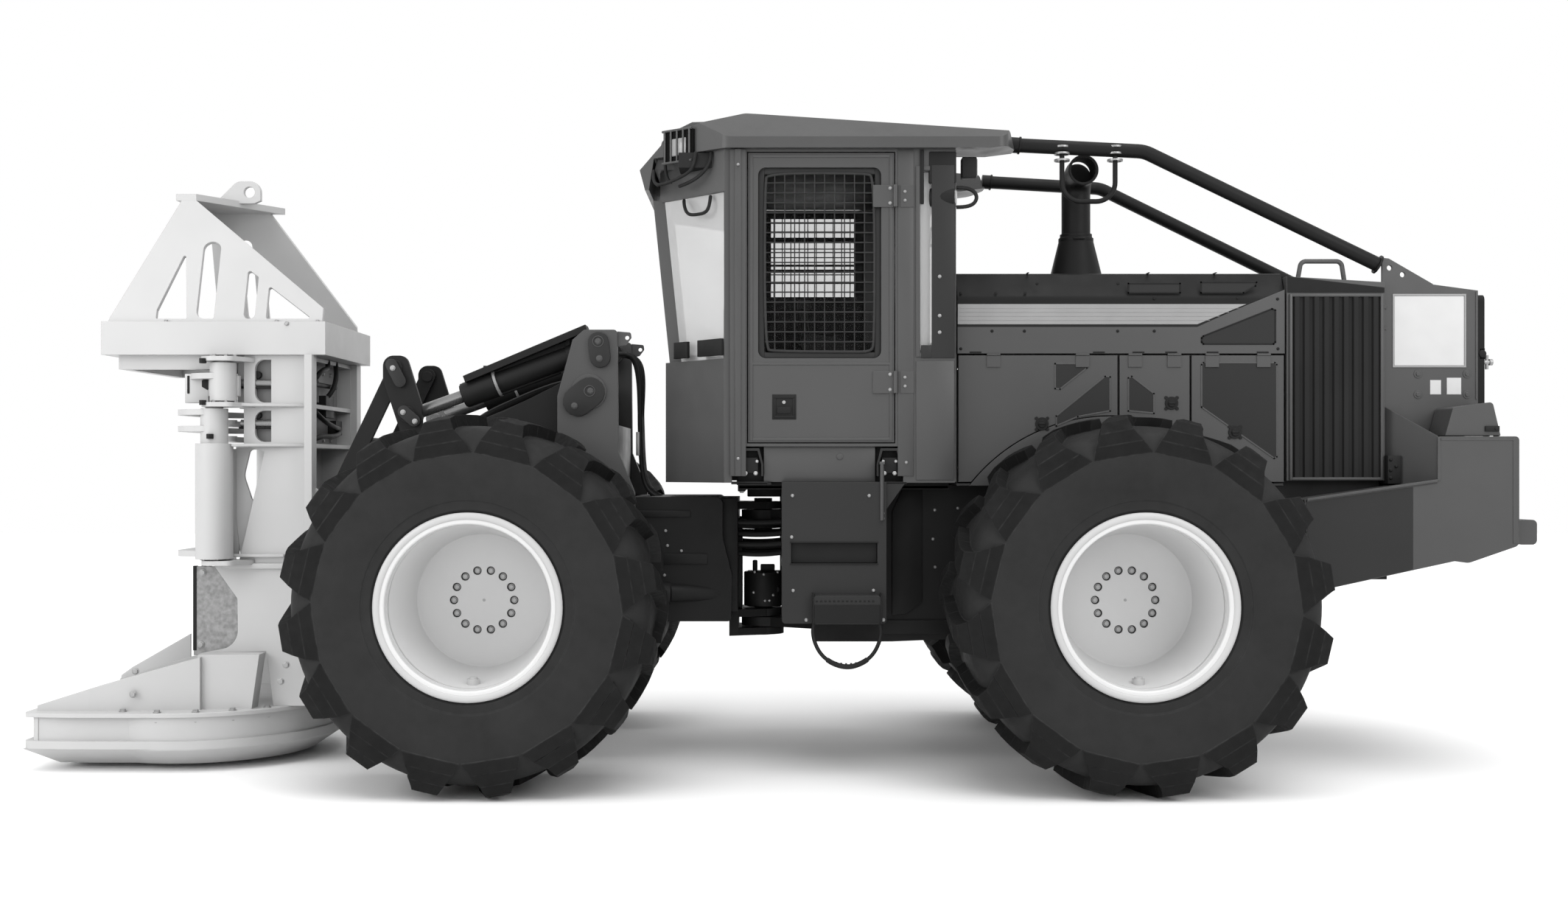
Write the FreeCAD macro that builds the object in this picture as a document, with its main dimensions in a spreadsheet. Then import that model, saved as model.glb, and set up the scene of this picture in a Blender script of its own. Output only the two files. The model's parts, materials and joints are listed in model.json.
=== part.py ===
"""Wheeled feller buncher with a disc-saw felling head, a FreeCAD 1.1 macro.

Millimetres. +X points forward, +Y to the machine's left, +Z up. The origin is on the ground,
below the middle of the machine. Every sub-part is written to parts/NODE.step.
"""
import FreeCAD, Part
import math
import os
from types import SimpleNamespace

from FreeCAD import Placement, Rotation, Vector

DRIVING_SIZES = [
    # wheels and axles
    ("tyre_radius", 915), ("tyre_width", 760), ("tyre_bead_radius", 407), ("wheel_track_half", 1100),
    ("front_axle_x", 1450), ("rear_axle_x", -1740), ("rim_lip_radius", 446), ("rim_barrel_radius", 406),
    ("rim_wall", 14), ("rim_disc_offset", -105), ("rim_disc_thickness", 24), ("hub_radius", 190),
    ("spindle_radius", 70), ("axle_tube_radius", 130), ("differential_radius", 235),
    ("wheel_bolt_circle", 300), ("wheel_bolt_hole", 42), ("wheel_bolt_count", 14),
    # chassis
    ("pivot_x", 65), ("frame_half", 440), ("frame_plate", 40), ("frame_top", 1480),
    ("front_frame_half", 400), ("pivot_pin_radius", 50), ("tongue_thickness", 50),
    # cab
    ("cab_half", 760), ("cab_wall", 60), ("cab_bottom", 1496), ("cab_belt", 2133),
    ("cab_ceiling", 3204), ("cab_rear_x", -920), ("cab_corner_x", 262), ("cab_front_x", 585),
    ("cab_nose_half", 372), ("glass_thickness", 8),
    ("door_rear_x", -608), ("door_front_x", 139), ("door_sill", 1703), ("door_gap", 6),
    # engine end
    ("hood_half", 640), ("hood_front_x", -945), ("hood_rear_x", -2646), ("hood_seam", 2164),
    ("hood_top", 2590), ("hood_shell", 25), ("door_panel", 30), ("arch_gap", 15),
    ("cooler_half", 650), ("cooler_top", 2565), ("rear_box_half", 600), ("counterweight_half", 850),
    ("bumper_rear_x", -3880), ("exhaust_x", -1633), ("exhaust_y", 250), ("guard_tube_radius", 37),
    # boom, linkage and cylinders
    ("tower_offset", 430), ("tower_plate", 40), ("boom_pivot_x", 985), ("boom_pivot_z", 1975),
    ("boom_elbow_x", 1800), ("boom_elbow_z", 1560), ("head_pivot_x", 2330), ("head_pivot_z", 600),
    ("boom_arm_offset", 300), ("boom_arm_width", 90), ("crank_offset", 425), ("crank_plate", 30),
    ("crank_lobe_x", 2018), ("crank_lobe_z", 2102), ("crank_pin_x", 1951), ("crank_pin_z", 1856),
    ("link_offset", 385), ("link_plate", 30), ("head_link_x", 2390), ("head_link_z", 1317),
    ("tilt_base_x", 938), ("tilt_base_z", 2228), ("tilt_cylinder_y", 340), ("tilt_barrel_radius", 58),
    ("tilt_rod_radius", 34), ("lift_base_x", 760), ("lift_base_z", 1180), ("lift_eye_x", 1750),
    ("lift_eye_z", 1330), ("lift_cylinder_y", 190), ("lift_barrel_radius", 68), ("lift_rod_radius", 38),
    ("main_pin_radius", 45), ("pin_clearance", 0.06),
    # felling head
    ("saw_x", 3152), ("housing_radius", 728), ("disc_radius", 660), ("disc_z", 205), ("disc_thickness", 32),
    ("housing_top", 310), ("column_half", 450), ("column_plate", 30), ("deck_half", 490), ("deck_low",
                                                                                           2170),
    ("deck_high", 2346), ("deck_front_x", 3561), ("arm_hub_x", 2952), ("arm_hub_y", 520),
    ("arm_hub_radius", 96), ("arm_plate", 30), ("accumulator_x", 2905), ("accumulator_y", 520),
    ("lift_eye_hole", 31),
]

doc = FreeCAD.newDocument("feller_buncher")
sheet = doc.addObject("Spreadsheet::Sheet", "sizes")
for row, (alias, number) in enumerate(DRIVING_SIZES, start=1):
    sheet.set("A%d" % row, alias)
    sheet.set("B%d" % row, str(number))
    sheet.setAlias("B%d" % row, alias)
doc.recompute()
d = SimpleNamespace(**{alias: float(sheet.get(alias)) for alias, _ in DRIVING_SIZES})

nodes = {}


# ---- helpers: each makes one object of the document -------------------------------------------

def bind(item, prop, value):
    """Set a property to a number, or tie it to the sheet when the value is an expression."""
    if isinstance(value, str):
        item.setExpression(prop, value)
    else:
        setattr(item, prop, value)


def keep(name, item):
    """Name a finished sub-part: its label is its node and its file."""
    item.Label = name
    nodes[name] = item
    return item


def outline_geometry(points):
    """Lines, with arcs where a corner has a third number, its radius."""
    count = len(points)
    starts, ends, arcs = [], [], []
    for i, point in enumerate(points):
        corner = Vector(point[0], point[1], 0)
        if len(point) < 3 or point[2] <= 0:
            starts.append(corner)
            ends.append(corner)
            arcs.append(None)
            continue
        before = (Vector(*points[i - 1][:2], 0) - corner).normalize()
        after = (Vector(*points[(i + 1) % count][:2], 0) - corner).normalize()
        half = before.getAngle(after) / 2
        inset = point[2] / math.tan(half)
        middle = (before + after).normalize()
        mid = corner + middle * (point[2] / math.sin(half) - point[2])
        starts.append(corner + before * inset)
        ends.append(corner + after * inset)
        arcs.append(Part.Arc(starts[-1], mid, ends[-1]))
    geometry = []
    for i in range(count):
        if arcs[i]:
            geometry.append(arcs[i])
        leave, reach = ends[i], starts[(i + 1) % count]
        if (leave - reach).Length > 1e-6:
            geometry.append(Part.LineSegment(leave, reach))
    return geometry


def add_sketch(body, name, role, outlines, circles=()):
    sketch = body.newObject("Sketcher::SketchObject", name)
    plane = next(f for f in body.Origin.OriginFeatures if f.Role == role)
    sketch.AttachmentSupport = (plane, [""])
    sketch.MapMode = "FlatFace"
    for points in outlines:
        for piece in outline_geometry(points):
            sketch.addGeometry(piece, False)
    for u, v, radius in circles:
        sketch.addGeometry(Part.Circle(Vector(u, v, 0), Vector(0, 0, 1), radius), False)
    return sketch


def plate(name, role, depth, at, outlines, circles=()):
    """Pad outlines by depth. XZ_Plane: towards +Y from y = at; XY_Plane: up from z = at;
    YZ_Plane: towards +X from x = at. Inner outlines and circles become holes."""
    body = doc.addObject("PartDesign::Body", name)
    sketch = add_sketch(body, name + "_outline", role, outlines, circles)
    pad = body.newObject("PartDesign::Pad", name + "_pad")
    pad.Profile = sketch
    bind(pad, "Length", depth)
    pad.Reversed = role == "XZ_Plane"
    sketch.Visibility = False
    shift = {"XZ_Plane": (0, at, 0), "XY_Plane": (0, 0, at), "YZ_Plane": (at, 0, 0)}[role]
    body.Placement = Placement(Vector(*shift), Rotation())
    return body


def turned(name, axis, profile, at):
    """Revolve a profile of (radius, height) about the Y or Z axis through the point at."""
    body = doc.addObject("PartDesign::Body", name)
    role = "XY_Plane" if axis == "Y" else "XZ_Plane"
    sketch = add_sketch(body, name + "_profile", role, [profile])
    turn = body.newObject("PartDesign::Revolution", name + "_turn")
    turn.Profile = sketch
    turn.ReferenceAxis = (sketch, ["V_Axis"])
    turn.Angle = 360
    sketch.Visibility = False
    body.Placement = Placement(Vector(*at), Rotation())
    return body


def block(name, low, high):
    item = doc.addObject("Part::Box", name)
    item.Length, item.Width, item.Height = [b - a for a, b in zip(low, high)]
    item.Placement = Placement(Vector(*low), Rotation())
    return item


def rod(name, radius, start, end):
    """A round bar from one point to another."""
    start, end = Vector(*start), Vector(*end)
    item = doc.addObject("Part::Cylinder", name)
    bind(item, "Radius", radius)
    item.Height = (end - start).Length
    item.Placement = Placement(start, Rotation(Vector(0, 0, 1), end - start))
    return item


def cross_pin(name, radius, x, z, low_y, high_y):
    return rod(name, radius, (x, low_y, z), (x, high_y, z))


def join(name, parts):
    item = doc.addObject("Part::MultiFuse", name)
    item.Shapes = parts
    return item


def group(name, parts):
    """Like pieces that do not touch, kept in one sub-part."""
    item = doc.addObject("Part::Compound", name)
    item.Links = parts
    return item


def cut(name, base, tools):
    item = doc.addObject("Part::Cut", name)
    item.Base = base
    item.Tool = tools[0] if len(tools) == 1 else join(name + "_tools", tools)
    return item


def common(name, parts):
    item = doc.addObject("Part::MultiCommon", name)
    item.Shapes = parts
    return item


def mirrored(source):
    """The same piece on the machine's other side."""
    item = doc.addObject("Part::Mirroring", source.Name + "_other_side")
    item.Source = source
    item.Normal = Vector(0, 1, 0)
    item.Base = Vector(0, 0, 0)
    return item


def both_sides(source):
    return [source, mirrored(source)]


def pipe_shape(route, radius):
    """A round tube along points whose corners are (x, y, z, bend radius)."""
    points = [Vector(*p[:3]) for p in route]
    edges, last = [], points[0]
    for i in range(1, len(points) - 1):
        before = (points[i - 1] - points[i]).normalize()
        after = (points[i + 1] - points[i]).normalize()
        half = before.getAngle(after) / 2
        bend = route[i][3]
        start = points[i] + before * (bend / math.tan(half))
        end = points[i] + after * (bend / math.tan(half))
        middle = points[i] + (before + after).normalize() * (bend / math.sin(half) - bend)
        if (start - last).Length > 1e-6:
            edges.append(Part.LineSegment(last, start).toShape())
        edges.append(Part.Arc(start, middle, end).toShape())
        last = end
    edges.append(Part.LineSegment(last, points[-1]).toShape())
    path = Part.Wire(edges)
    circle = Part.Wire(Part.Circle(points[0], points[1] - points[0], radius).toShape())
    return path.makePipeShell([circle], True, True)


def pipe(name, route, radius):
    item = doc.addObject("Part::Feature", name)
    item.Shape = pipe_shape(route, radius)
    return item


def loft(name, sections):
    """A straight-sided solid between closed outlines of 3D points."""
    item = doc.addObject("Part::Feature", name)
    wires = [Part.makePolygon([Vector(*p) for p in section + section[:1]]) for section in sections]
    item.Shape = Part.makeLoft(wires, True, True)
    return item


# ---- wheels ----------------------------------------------------------------------------------

def tyre(name, x, side):
    half, bead, radius = d.tyre_width / 2, d.tyre_bead_radius, d.tyre_radius
    bead_half = half - 42
    profile = [(bead, -bead_half), (bead + 45, -bead_half, 12), (650, -half, 160),
               (radius - 30, -half + 30, 40),
               (radius, -half + 90, 60), (radius, half - 90, 60), (radius - 30, half - 30, 40),
               (650, half, 160), (bead + 45, bead_half, 12), (bead, bead_half)]
    return keep(name, turned(name, "Y", profile, (x, side * d.wheel_track_half, radius)))


def rim(name, x, side):
    barrel, lip, wall = d.rim_barrel_radius, d.rim_lip_radius, d.rim_wall
    edge, half = 352, 338
    disc_out = side * d.rim_disc_offset
    disc_in = disc_out - side * d.rim_disc_thickness
    boss = disc_out - side * 70
    shell = turned(name + "_barrel", "Y", [(barrel, -half), (lip, -half), (lip, -edge, 6),
                                           (barrel - wall, -edge, 10), (barrel - wall, edge, 10),
                                           (lip, edge, 6), (lip, half), (barrel, half)], (0, 0, 0))
    disc = turned(name + "_disc", "Y", [(0, disc_out), (d.hub_radius, disc_out),
                                        (330, disc_out + side * 6, 20),
                                        (barrel - wall + 2, disc_out + side * 50),
                                        (barrel - wall + 2, disc_out + side * 22), (330, disc_in, 20),
                                        (d.hub_radius, disc_in), (d.hub_radius, boss),
                                        (d.spindle_radius + d.pin_clearance, boss),
                                        (d.spindle_radius + d.pin_clearance, disc_out - side * 8),
                                        (0, disc_out - side * 8)], (0, 0, 0))
    holes = []
    for i in range(int(d.wheel_bolt_count)):
        angle = 2 * math.pi * i / d.wheel_bolt_count
        u, v = d.wheel_bolt_circle / 2 * math.cos(angle), d.wheel_bolt_circle / 2 * math.sin(angle)
        holes.append(rod("%s_recess_%d" % (name, i), "sizes.wheel_bolt_hole / 2",
                         (u, disc_out - side * 14, v), (u, disc_out + side * 10, v)))
    wheel = cut(name, join(name + "_body", [shell, disc]), holes)
    wheel.Placement = Placement(Vector(x, side * d.wheel_track_half, d.tyre_radius), Rotation())
    return keep(name, wheel)


for end, axle_x in (("front", d.front_axle_x), ("rear", d.rear_axle_x)):
    for label, side in (("left", 1), ("right", -1)):
        tyre("%s_%s_tyre" % (end, label), axle_x, side)
        rim("%s_%s_rim" % (end, label), axle_x, side)


def axle(name, x):
    """Differential housing, tubes, planetary hubs and the stub that the wheel turns on."""
    disc_in = d.wheel_track_half + d.rim_disc_offset
    half = [(0, 0), (d.differential_radius, 0), (d.differential_radius, 120, 40), (165, 230, 30),
            (d.axle_tube_radius, 300, 40), (d.axle_tube_radius, 700, 20), (185, 735, 10),
            (185, disc_in - 80), (d.spindle_radius, disc_in - 80), (d.spindle_radius, disc_in - 12),
            (0, disc_in - 12)]
    left = turned(name + "_left", "Y", half, (0, 0, 0))
    right = turned(name + "_right", "Y", [(p[0], -p[1]) + tuple(p[2:]) for p in half], (0, 0, 0))
    whole = join(name, [left, right])
    whole.Placement = Placement(Vector(x, 0, d.tyre_radius), Rotation())
    return keep(name, whole)


axle("front_axle", d.front_axle_x)
axle("rear_axle", d.rear_axle_x)

# ---- rear frame ------------------------------------------------------------------------------

AXLE_HOLE = d.axle_tube_radius + 0.5
FRAME_INNER = d.frame_half - d.frame_plate
UPPER_TONGUE, LOWER_TONGUE = 1290, 700
FRAME_BELLY = 650


def tongue_pair():
    """Upper and lower hinge tongues of the rear frame, each with the pin's bore."""
    eye = 120
    shape = [(-700, -FRAME_INNER), (-420, -FRAME_INNER), (d.pivot_x - 40, -eye),
             (d.pivot_x + eye, -eye, eye - 1), (d.pivot_x + eye, eye, eye - 1), (d.pivot_x - 40, eye),
             (-420, FRAME_INNER), (-700, FRAME_INNER)]
    bore = [(d.pivot_x, 0, d.pivot_pin_radius + d.pin_clearance)]
    return [plate("upper_tongue", "XY_Plane", "sizes.tongue_thickness", UPPER_TONGUE, [shape], bore),
            plate("lower_tongue", "XY_Plane", "sizes.tongue_thickness", LOWER_TONGUE, [shape], bore)]


rear_side = plate("rear_frame_side", "XZ_Plane", "sizes.frame_plate", FRAME_INNER,
                  [[(-3250, d.frame_top), (-70, d.frame_top), (-70, 1180, 60), (-200, 1040),
                    (-200, FRAME_BELLY), (-620, FRAME_BELLY), (-2300, 720), (-2640, 980), (-3250, 980)]],
                  [(d.rear_axle_x, d.tyre_radius, AXLE_HOLE)])
frame_deck = plate("rear_frame_deck", "XY_Plane", 24, d.frame_top - 24, [
    [(-3250, -FRAME_INNER), (-260, -FRAME_INNER), (-260, FRAME_INNER), (-3250, FRAME_INNER)]])
frame_wall = block("rear_frame_wall", (-724, -FRAME_INNER, FRAME_BELLY),
                   (-700, FRAME_INNER, d.frame_top - 24))
frame_end = block("rear_frame_end", (-3250, -FRAME_INNER, 980), (-3226, FRAME_INNER, d.frame_top - 24))
keep("rear_frame", join("rear_frame", both_sides(rear_side) + [frame_deck, frame_wall, frame_end]
                        + tongue_pair()))

keep("engine_block", block("engine_block", (-2450, -300, 1520), (-1150, 300, 2250)))

# ---- front frame, articulation pins and boom tower ---------------------------------------------

clevis_outline = [(420, -260), (d.pivot_x - 20, -115), (d.pivot_x - 115, -115, 114),
                  (d.pivot_x - 115, 115, 114),
                  (d.pivot_x - 20, 115), (420, 260)]
clevis_levels = [UPPER_TONGUE - 46, UPPER_TONGUE + d.tongue_thickness + 6,
                 LOWER_TONGUE + d.tongue_thickness + 6]
clevises = [plate("clevis_%d" % i, "XY_Plane", 40, level, [clevis_outline])
            for i, level in enumerate(clevis_levels)]
pins = [rod("articulation_pin_%d" % i, "sizes.pivot_pin_radius", (d.pivot_x, 0, low), (d.pivot_x, 0, high))
        for i, (low, high) in enumerate(((clevis_levels[0] - 18, clevis_levels[1] + 58),
                                         (LOWER_TONGUE - 54, clevis_levels[2] + 48)))]
front_box = plate("front_frame_box", "XZ_Plane", "sizes.front_frame_half * 2", -d.front_frame_half, [
    [(280, 1200, 40), (280, 1418, 40), (760, 1418), (760, 753), (235, 753, 20),
     (230, 1000)]])
KEEL_END = 250
keel_outline = [(KEEL_END, -190), (d.pivot_x - 20, -115), (d.pivot_x - 115, -115, 114),
                (d.pivot_x - 115, 115, 114), (d.pivot_x - 20, 115), (KEEL_END, 190)]
keel = plate("clevis_keel", "XY_Plane", 40, LOWER_TONGUE - 46, [keel_outline])
keel_wall = block("clevis_keel_wall", (200, -190, LOWER_TONGUE - 40), (KEEL_END, 190, 800))
front_side = plate("front_frame_side", "XZ_Plane", 70, d.front_frame_half - 70, [
    [(740, 1418), (1010, 1418), (1180, 1260, 60), (1760, 1230, 60), (1760, 700, 60), (740, 700)]],
    [(d.front_axle_x, d.tyre_radius, AXLE_HOLE)])
front_cross = block("front_frame_cross", (1690, -340, 760), (1750, 340, 1120))
lift_lug = plate("lift_lug", "XZ_Plane", 24, d.lift_cylinder_y - 98, [
    [(740, 1080), (740, 1270), (d.lift_base_x + 10, 1270, 60), (d.lift_base_x + 80, d.lift_base_z, 60),
     (d.lift_base_x + 30, 1080)]])
lift_lug_outer = plate("lift_lug_outer", "XZ_Plane", 24, d.lift_cylinder_y + 74, [
    [(740, 1080), (740, 1270), (d.lift_base_x + 10, 1270, 60), (d.lift_base_x + 80, d.lift_base_z, 60),
     (d.lift_base_x + 30, 1080)]])
lift_pin = cross_pin("lift_base_pin", 30, d.lift_base_x, d.lift_base_z, d.lift_cylinder_y - 90,
                     d.lift_cylinder_y + 90)
box_notch = block("front_frame_notch", (d.lift_base_x - 90, -300, 1060), (d.lift_base_x + 20, 300, 1330))
front_core = cut("front_frame_core", front_box, [box_notch])
inner_lugs = []
for offset in (d.lift_cylinder_y - 98, d.lift_cylinder_y + 74):
    inner_lugs += both_sides(block("lug_bridge_%d" % offset, (660, offset, 1080),
                                   (745, offset + 24, 1270)))
keep("front_frame", join("front_frame", [front_core, front_cross, keel, keel_wall]
                         + both_sides(front_side) + clevises + pins + both_sides(lift_lug)
                         + both_sides(lift_lug_outer) + both_sides(lift_pin) + inner_lugs))

tower_side = plate("tower_side", "XZ_Plane", "sizes.tower_plate", d.tower_offset, [
    [(743, 1442), (830, 1657), (836, 2304, 20), (1012, 2304, 20), (1072, 2251), (1153, 1954, 40),
     (1153, 1767, 40), (1010, 1400), (960, 1100), (743, 1100)]])
tower_web = block("tower_web", (838, -d.tower_offset, 1460), (862, d.tower_offset, 1800))
tower_pad = block("tower_pad", (743, d.front_frame_half, 1110), (950, d.tower_offset, 1410))
boom_pin = cross_pin("boom_pin", "sizes.main_pin_radius", d.boom_pivot_x, d.boom_pivot_z,
                     d.boom_arm_offset - 30, d.tower_offset + d.tower_plate + 22)
boom_cap = cross_pin("boom_pin_cap", 92, d.boom_pivot_x, d.boom_pivot_z,
                     d.tower_offset + d.tower_plate - 5, d.tower_offset + d.tower_plate + 14)
tilt_pin = cross_pin("tilt_base_pin", 32, d.tilt_base_x, d.tilt_base_z, d.tilt_cylinder_y - 48,
                     d.tower_offset + d.tower_plate + 12)
tower_brackets = plate("tower_brackets", "XZ_Plane", 12, d.tower_offset + 10, [
    [(836, 2296), (836, 2215), (790, 2225, 10), (762, 2262, 10), (766, 2290, 10)]], [(785, 2262, 11)])
keep("boom_tower", join("boom_tower", both_sides(tower_side) + [tower_web] + both_sides(tower_pad)
                        + both_sides(boom_pin) + both_sides(boom_cap) + both_sides(tilt_pin)
                        + both_sides(tower_brackets)))

# ---- boom, bellcrank and link ------------------------------------------------------------------

PIN_BORE = d.main_pin_radius + d.pin_clearance
boom_outline = [(d.boom_pivot_x - 95, d.boom_pivot_z + 30, 80),
                (d.boom_pivot_x + 40, d.boom_pivot_z + 110, 80),
                (d.boom_elbow_x + 60, d.boom_elbow_z + 110, 160),
                (d.head_pivot_x + 90, d.head_pivot_z + 20, 80),
                (d.head_pivot_x - 20, d.head_pivot_z - 90, 80),
                (d.head_pivot_x - 130, d.head_pivot_z, 80),
                (d.boom_elbow_x - 80, d.boom_elbow_z - 130, 160),
                (d.boom_pivot_x - 60, d.boom_pivot_z - 90, 80)]
boom_arm = plate("boom_arm", "XZ_Plane", "sizes.boom_arm_width", d.boom_arm_offset, [boom_outline],
                 [(d.boom_pivot_x, d.boom_pivot_z, PIN_BORE), (d.head_pivot_x, d.head_pivot_z, PIN_BORE)])
boom_tube = cross_pin("boom_cross_tube", 85, d.boom_elbow_x - 10, d.boom_elbow_z - 10,
                      -d.boom_arm_offset - 10,
                      d.boom_arm_offset + 10)
boom_low_tube = cross_pin("boom_low_tube", 70, 2130, 1010, -d.boom_arm_offset - 10, d.boom_arm_offset + 10)
lift_ear = plate("lift_ear", "XZ_Plane", 24, d.lift_cylinder_y + 46, [
    [(d.boom_elbow_x - 130, d.boom_elbow_z - 20), (d.boom_elbow_x + 40, d.boom_elbow_z - 60),
     (d.lift_eye_x + 60, d.lift_eye_z - 40, 50), (d.lift_eye_x - 60, d.lift_eye_z - 40, 50)]])
ear_bridge = block("ear_bridge", (d.boom_elbow_x - 90, d.lift_cylinder_y + 60, d.boom_elbow_z - 60),
                   (d.boom_elbow_x + 30, d.boom_arm_offset + 8, d.boom_elbow_z + 20))
crank_pin = cross_pin("crank_pin", "sizes.main_pin_radius", d.boom_elbow_x, d.boom_elbow_z,
                      d.boom_arm_offset + d.boom_arm_width - 5, d.crank_offset + d.crank_plate + 14)
keep("boom", join("boom", both_sides(boom_arm) + [boom_tube, boom_low_tube] + both_sides(lift_ear)
                  + both_sides(ear_bridge) + both_sides(crank_pin)))

crank_side = plate("crank_side", "XZ_Plane", "sizes.crank_plate", d.crank_offset, [
    [(d.boom_elbow_x - 130, d.boom_elbow_z - 85, 70), (d.boom_elbow_x + 95, d.boom_elbow_z - 75, 70),
     (d.crank_lobe_x + 62, d.crank_lobe_z - 60, 40), (d.crank_lobe_x + 62, d.crank_lobe_z + 66, 56),
     (d.crank_lobe_x - 62, d.crank_lobe_z + 66, 50), (d.crank_pin_x - 75, d.crank_pin_z + 55, 50),
     (d.crank_pin_x - 80, d.crank_pin_z - 60, 60)]], [(d.boom_elbow_x, d.boom_elbow_z, PIN_BORE)])
crank_bosses = [cross_pin("crank_boss_%d" % i, 42, x, z, d.crank_offset + d.crank_plate - 2,
                          d.crank_offset + d.crank_plate + 12)
                for i, (x, z) in enumerate(((d.crank_lobe_x, d.crank_lobe_z),
                                            (d.crank_pin_x, d.crank_pin_z)))]
crank_tube = cross_pin("crank_tube", 36, (d.boom_elbow_x + d.crank_pin_x) / 2 + 40,
                       (d.boom_elbow_z + d.crank_pin_z) / 2 + 40, -d.crank_offset - 5, d.crank_offset + 5)
keep("bellcrank", join("bellcrank", both_sides(crank_side)
                       + [b for boss in crank_bosses for b in both_sides(boss)] + [crank_tube]))

LINK_RUN = Vector(d.head_link_x - d.crank_lobe_x, 0, d.head_link_z - d.crank_lobe_z)
LINK_ACROSS = Vector(-LINK_RUN.z, 0, LINK_RUN.x).normalize() * 42


def link_corner(base_x, base_z, along, across):
    spot = Vector(base_x, 0, base_z) + LINK_RUN * (along / LINK_RUN.Length) + LINK_ACROSS * across
    return (spot.x, spot.z, 40)


link_bar = plate("link_bar", "XZ_Plane", "sizes.link_plate", d.link_offset,
                 [[link_corner(d.crank_lobe_x, d.crank_lobe_z, -46, 1),
                   link_corner(d.head_link_x, d.head_link_z, 50, 1),
                   link_corner(d.head_link_x, d.head_link_z, 50, -1),
                   link_corner(d.crank_lobe_x, d.crank_lobe_z, -46, -1)]],
                 [(d.head_link_x, d.head_link_z, 30 + d.pin_clearance)])
link_stub = cross_pin("link_stub", 30, d.crank_lobe_x, d.crank_lobe_z, d.link_offset - 12,
                      d.crank_offset - 6)
link_tube_x = (d.crank_lobe_x + d.head_link_x) / 2
link_tube = cross_pin("link_tube", 28, link_tube_x, (d.crank_lobe_z + d.head_link_z) / 2,
                      -d.link_offset - 5, d.link_offset + 5)
keep("tilt_link", join("tilt_link", both_sides(link_bar) + both_sides(link_stub) + [link_tube]))

# ---- cylinders -------------------------------------------------------------------------------


def along(start, end, distance):
    start, end = Vector(*start), Vector(*end)
    return tuple(start + (end - start).normalize() * distance)


def barrel_tube(name, alias, bore, start, end, low, high):
    """A cylinder's barrel: a tube closed at its base, with a gland at the rod's end."""
    body = rod(name + "_tube", "sizes." + alias, along(start, end, low), along(start, end, high))
    gland = rod(name + "_gland", "sizes.%s + 9" % alias, along(start, end, high - 90),
                along(start, end, high))
    hollow = rod(name + "_bore", bore, along(start, end, low + 60), along(start, end, high + 5))
    return cut(name, join(name + "_outer", [body, gland]), [hollow])


def eye_ring(name, radius, hole, spot, half_width):
    x, y, z = spot
    ring = cross_pin(name + "_ring", radius, x, z, y - half_width, y + half_width)
    bore = cross_pin(name + "_hole", hole, x, z, y - half_width - 5, y + half_width + 5)
    return cut(name, ring, [bore])


tilt_base = (d.tilt_base_x, d.tilt_cylinder_y, d.tilt_base_z)
tilt_tip = (d.crank_pin_x, d.tilt_cylinder_y, d.crank_pin_z)
lift_base = (d.lift_base_x, d.lift_cylinder_y, d.lift_base_z)
lift_tip = (d.lift_eye_x, d.lift_cylinder_y, d.lift_eye_z)
TILT_LENGTH = math.dist(tilt_base, tilt_tip)
LIFT_LENGTH = math.dist(lift_base, lift_tip)

tilt_tube = barrel_tube("tilt_tube", "tilt_barrel_radius", d.tilt_rod_radius + 9, tilt_base, tilt_tip,
                        50, 778)
tilt_eye = eye_ring("tilt_base_eye", 60, 32 + d.pin_clearance, tilt_base, 40)
guard_plate = plate("guard_plate", "XZ_Plane", 150, d.tilt_cylinder_y - 75, [
    [(1000, 2302), (1012, 2336), (1664, 2062), (1652, 2028)]])
guard_legs = [block("guard_leg_%d" % x, (x, d.tilt_cylinder_y - 20, z),
                    (x + 24, d.tilt_cylinder_y + 20, z + 70))
              for x, z in ((1100, 2216), (1540, 2050))]
tilt_barrel = join("tilt_barrel_left", [tilt_tube, tilt_eye, guard_plate] + guard_legs)
keep("tilt_barrels", group("tilt_barrels", both_sides(tilt_barrel)))

tilt_piston = rod("tilt_piston_left", d.tilt_rod_radius + 8.5, along(tilt_base, tilt_tip, 289),
                  along(tilt_base, tilt_tip, 329))
keep("tilt_pistons", group("tilt_pistons", both_sides(tilt_piston)))

tilt_rod_bar = rod("tilt_rod_bar", "sizes.tilt_rod_radius", along(tilt_base, tilt_tip, 395),
                   along(tilt_base, tilt_tip, TILT_LENGTH - 30))
tilt_rod_eye = cross_pin("tilt_rod_eye", 58, d.crank_pin_x, d.crank_pin_z, d.tilt_cylinder_y - 40,
                         d.tilt_cylinder_y + 40)
tilt_rod_pin = cross_pin("tilt_rod_pin", 28, d.crank_pin_x, d.crank_pin_z, d.tilt_cylinder_y - 52,
                         d.crank_offset - 6)
tilt_rod = join("tilt_rod_left", [tilt_rod_bar, tilt_rod_eye, tilt_rod_pin])
keep("tilt_rods", group("tilt_rods", both_sides(tilt_rod)))

lift_tube = barrel_tube("lift_tube", "lift_barrel_radius", d.lift_rod_radius + 12, lift_base, lift_tip,
                        50, 850)
lift_eye_ring = eye_ring("lift_base_eye", 58, 30 + d.pin_clearance, lift_base, 44)
keep("lift_barrels",
     group("lift_barrels", both_sides(join("lift_barrel_left", [lift_tube, lift_eye_ring]))))

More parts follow.
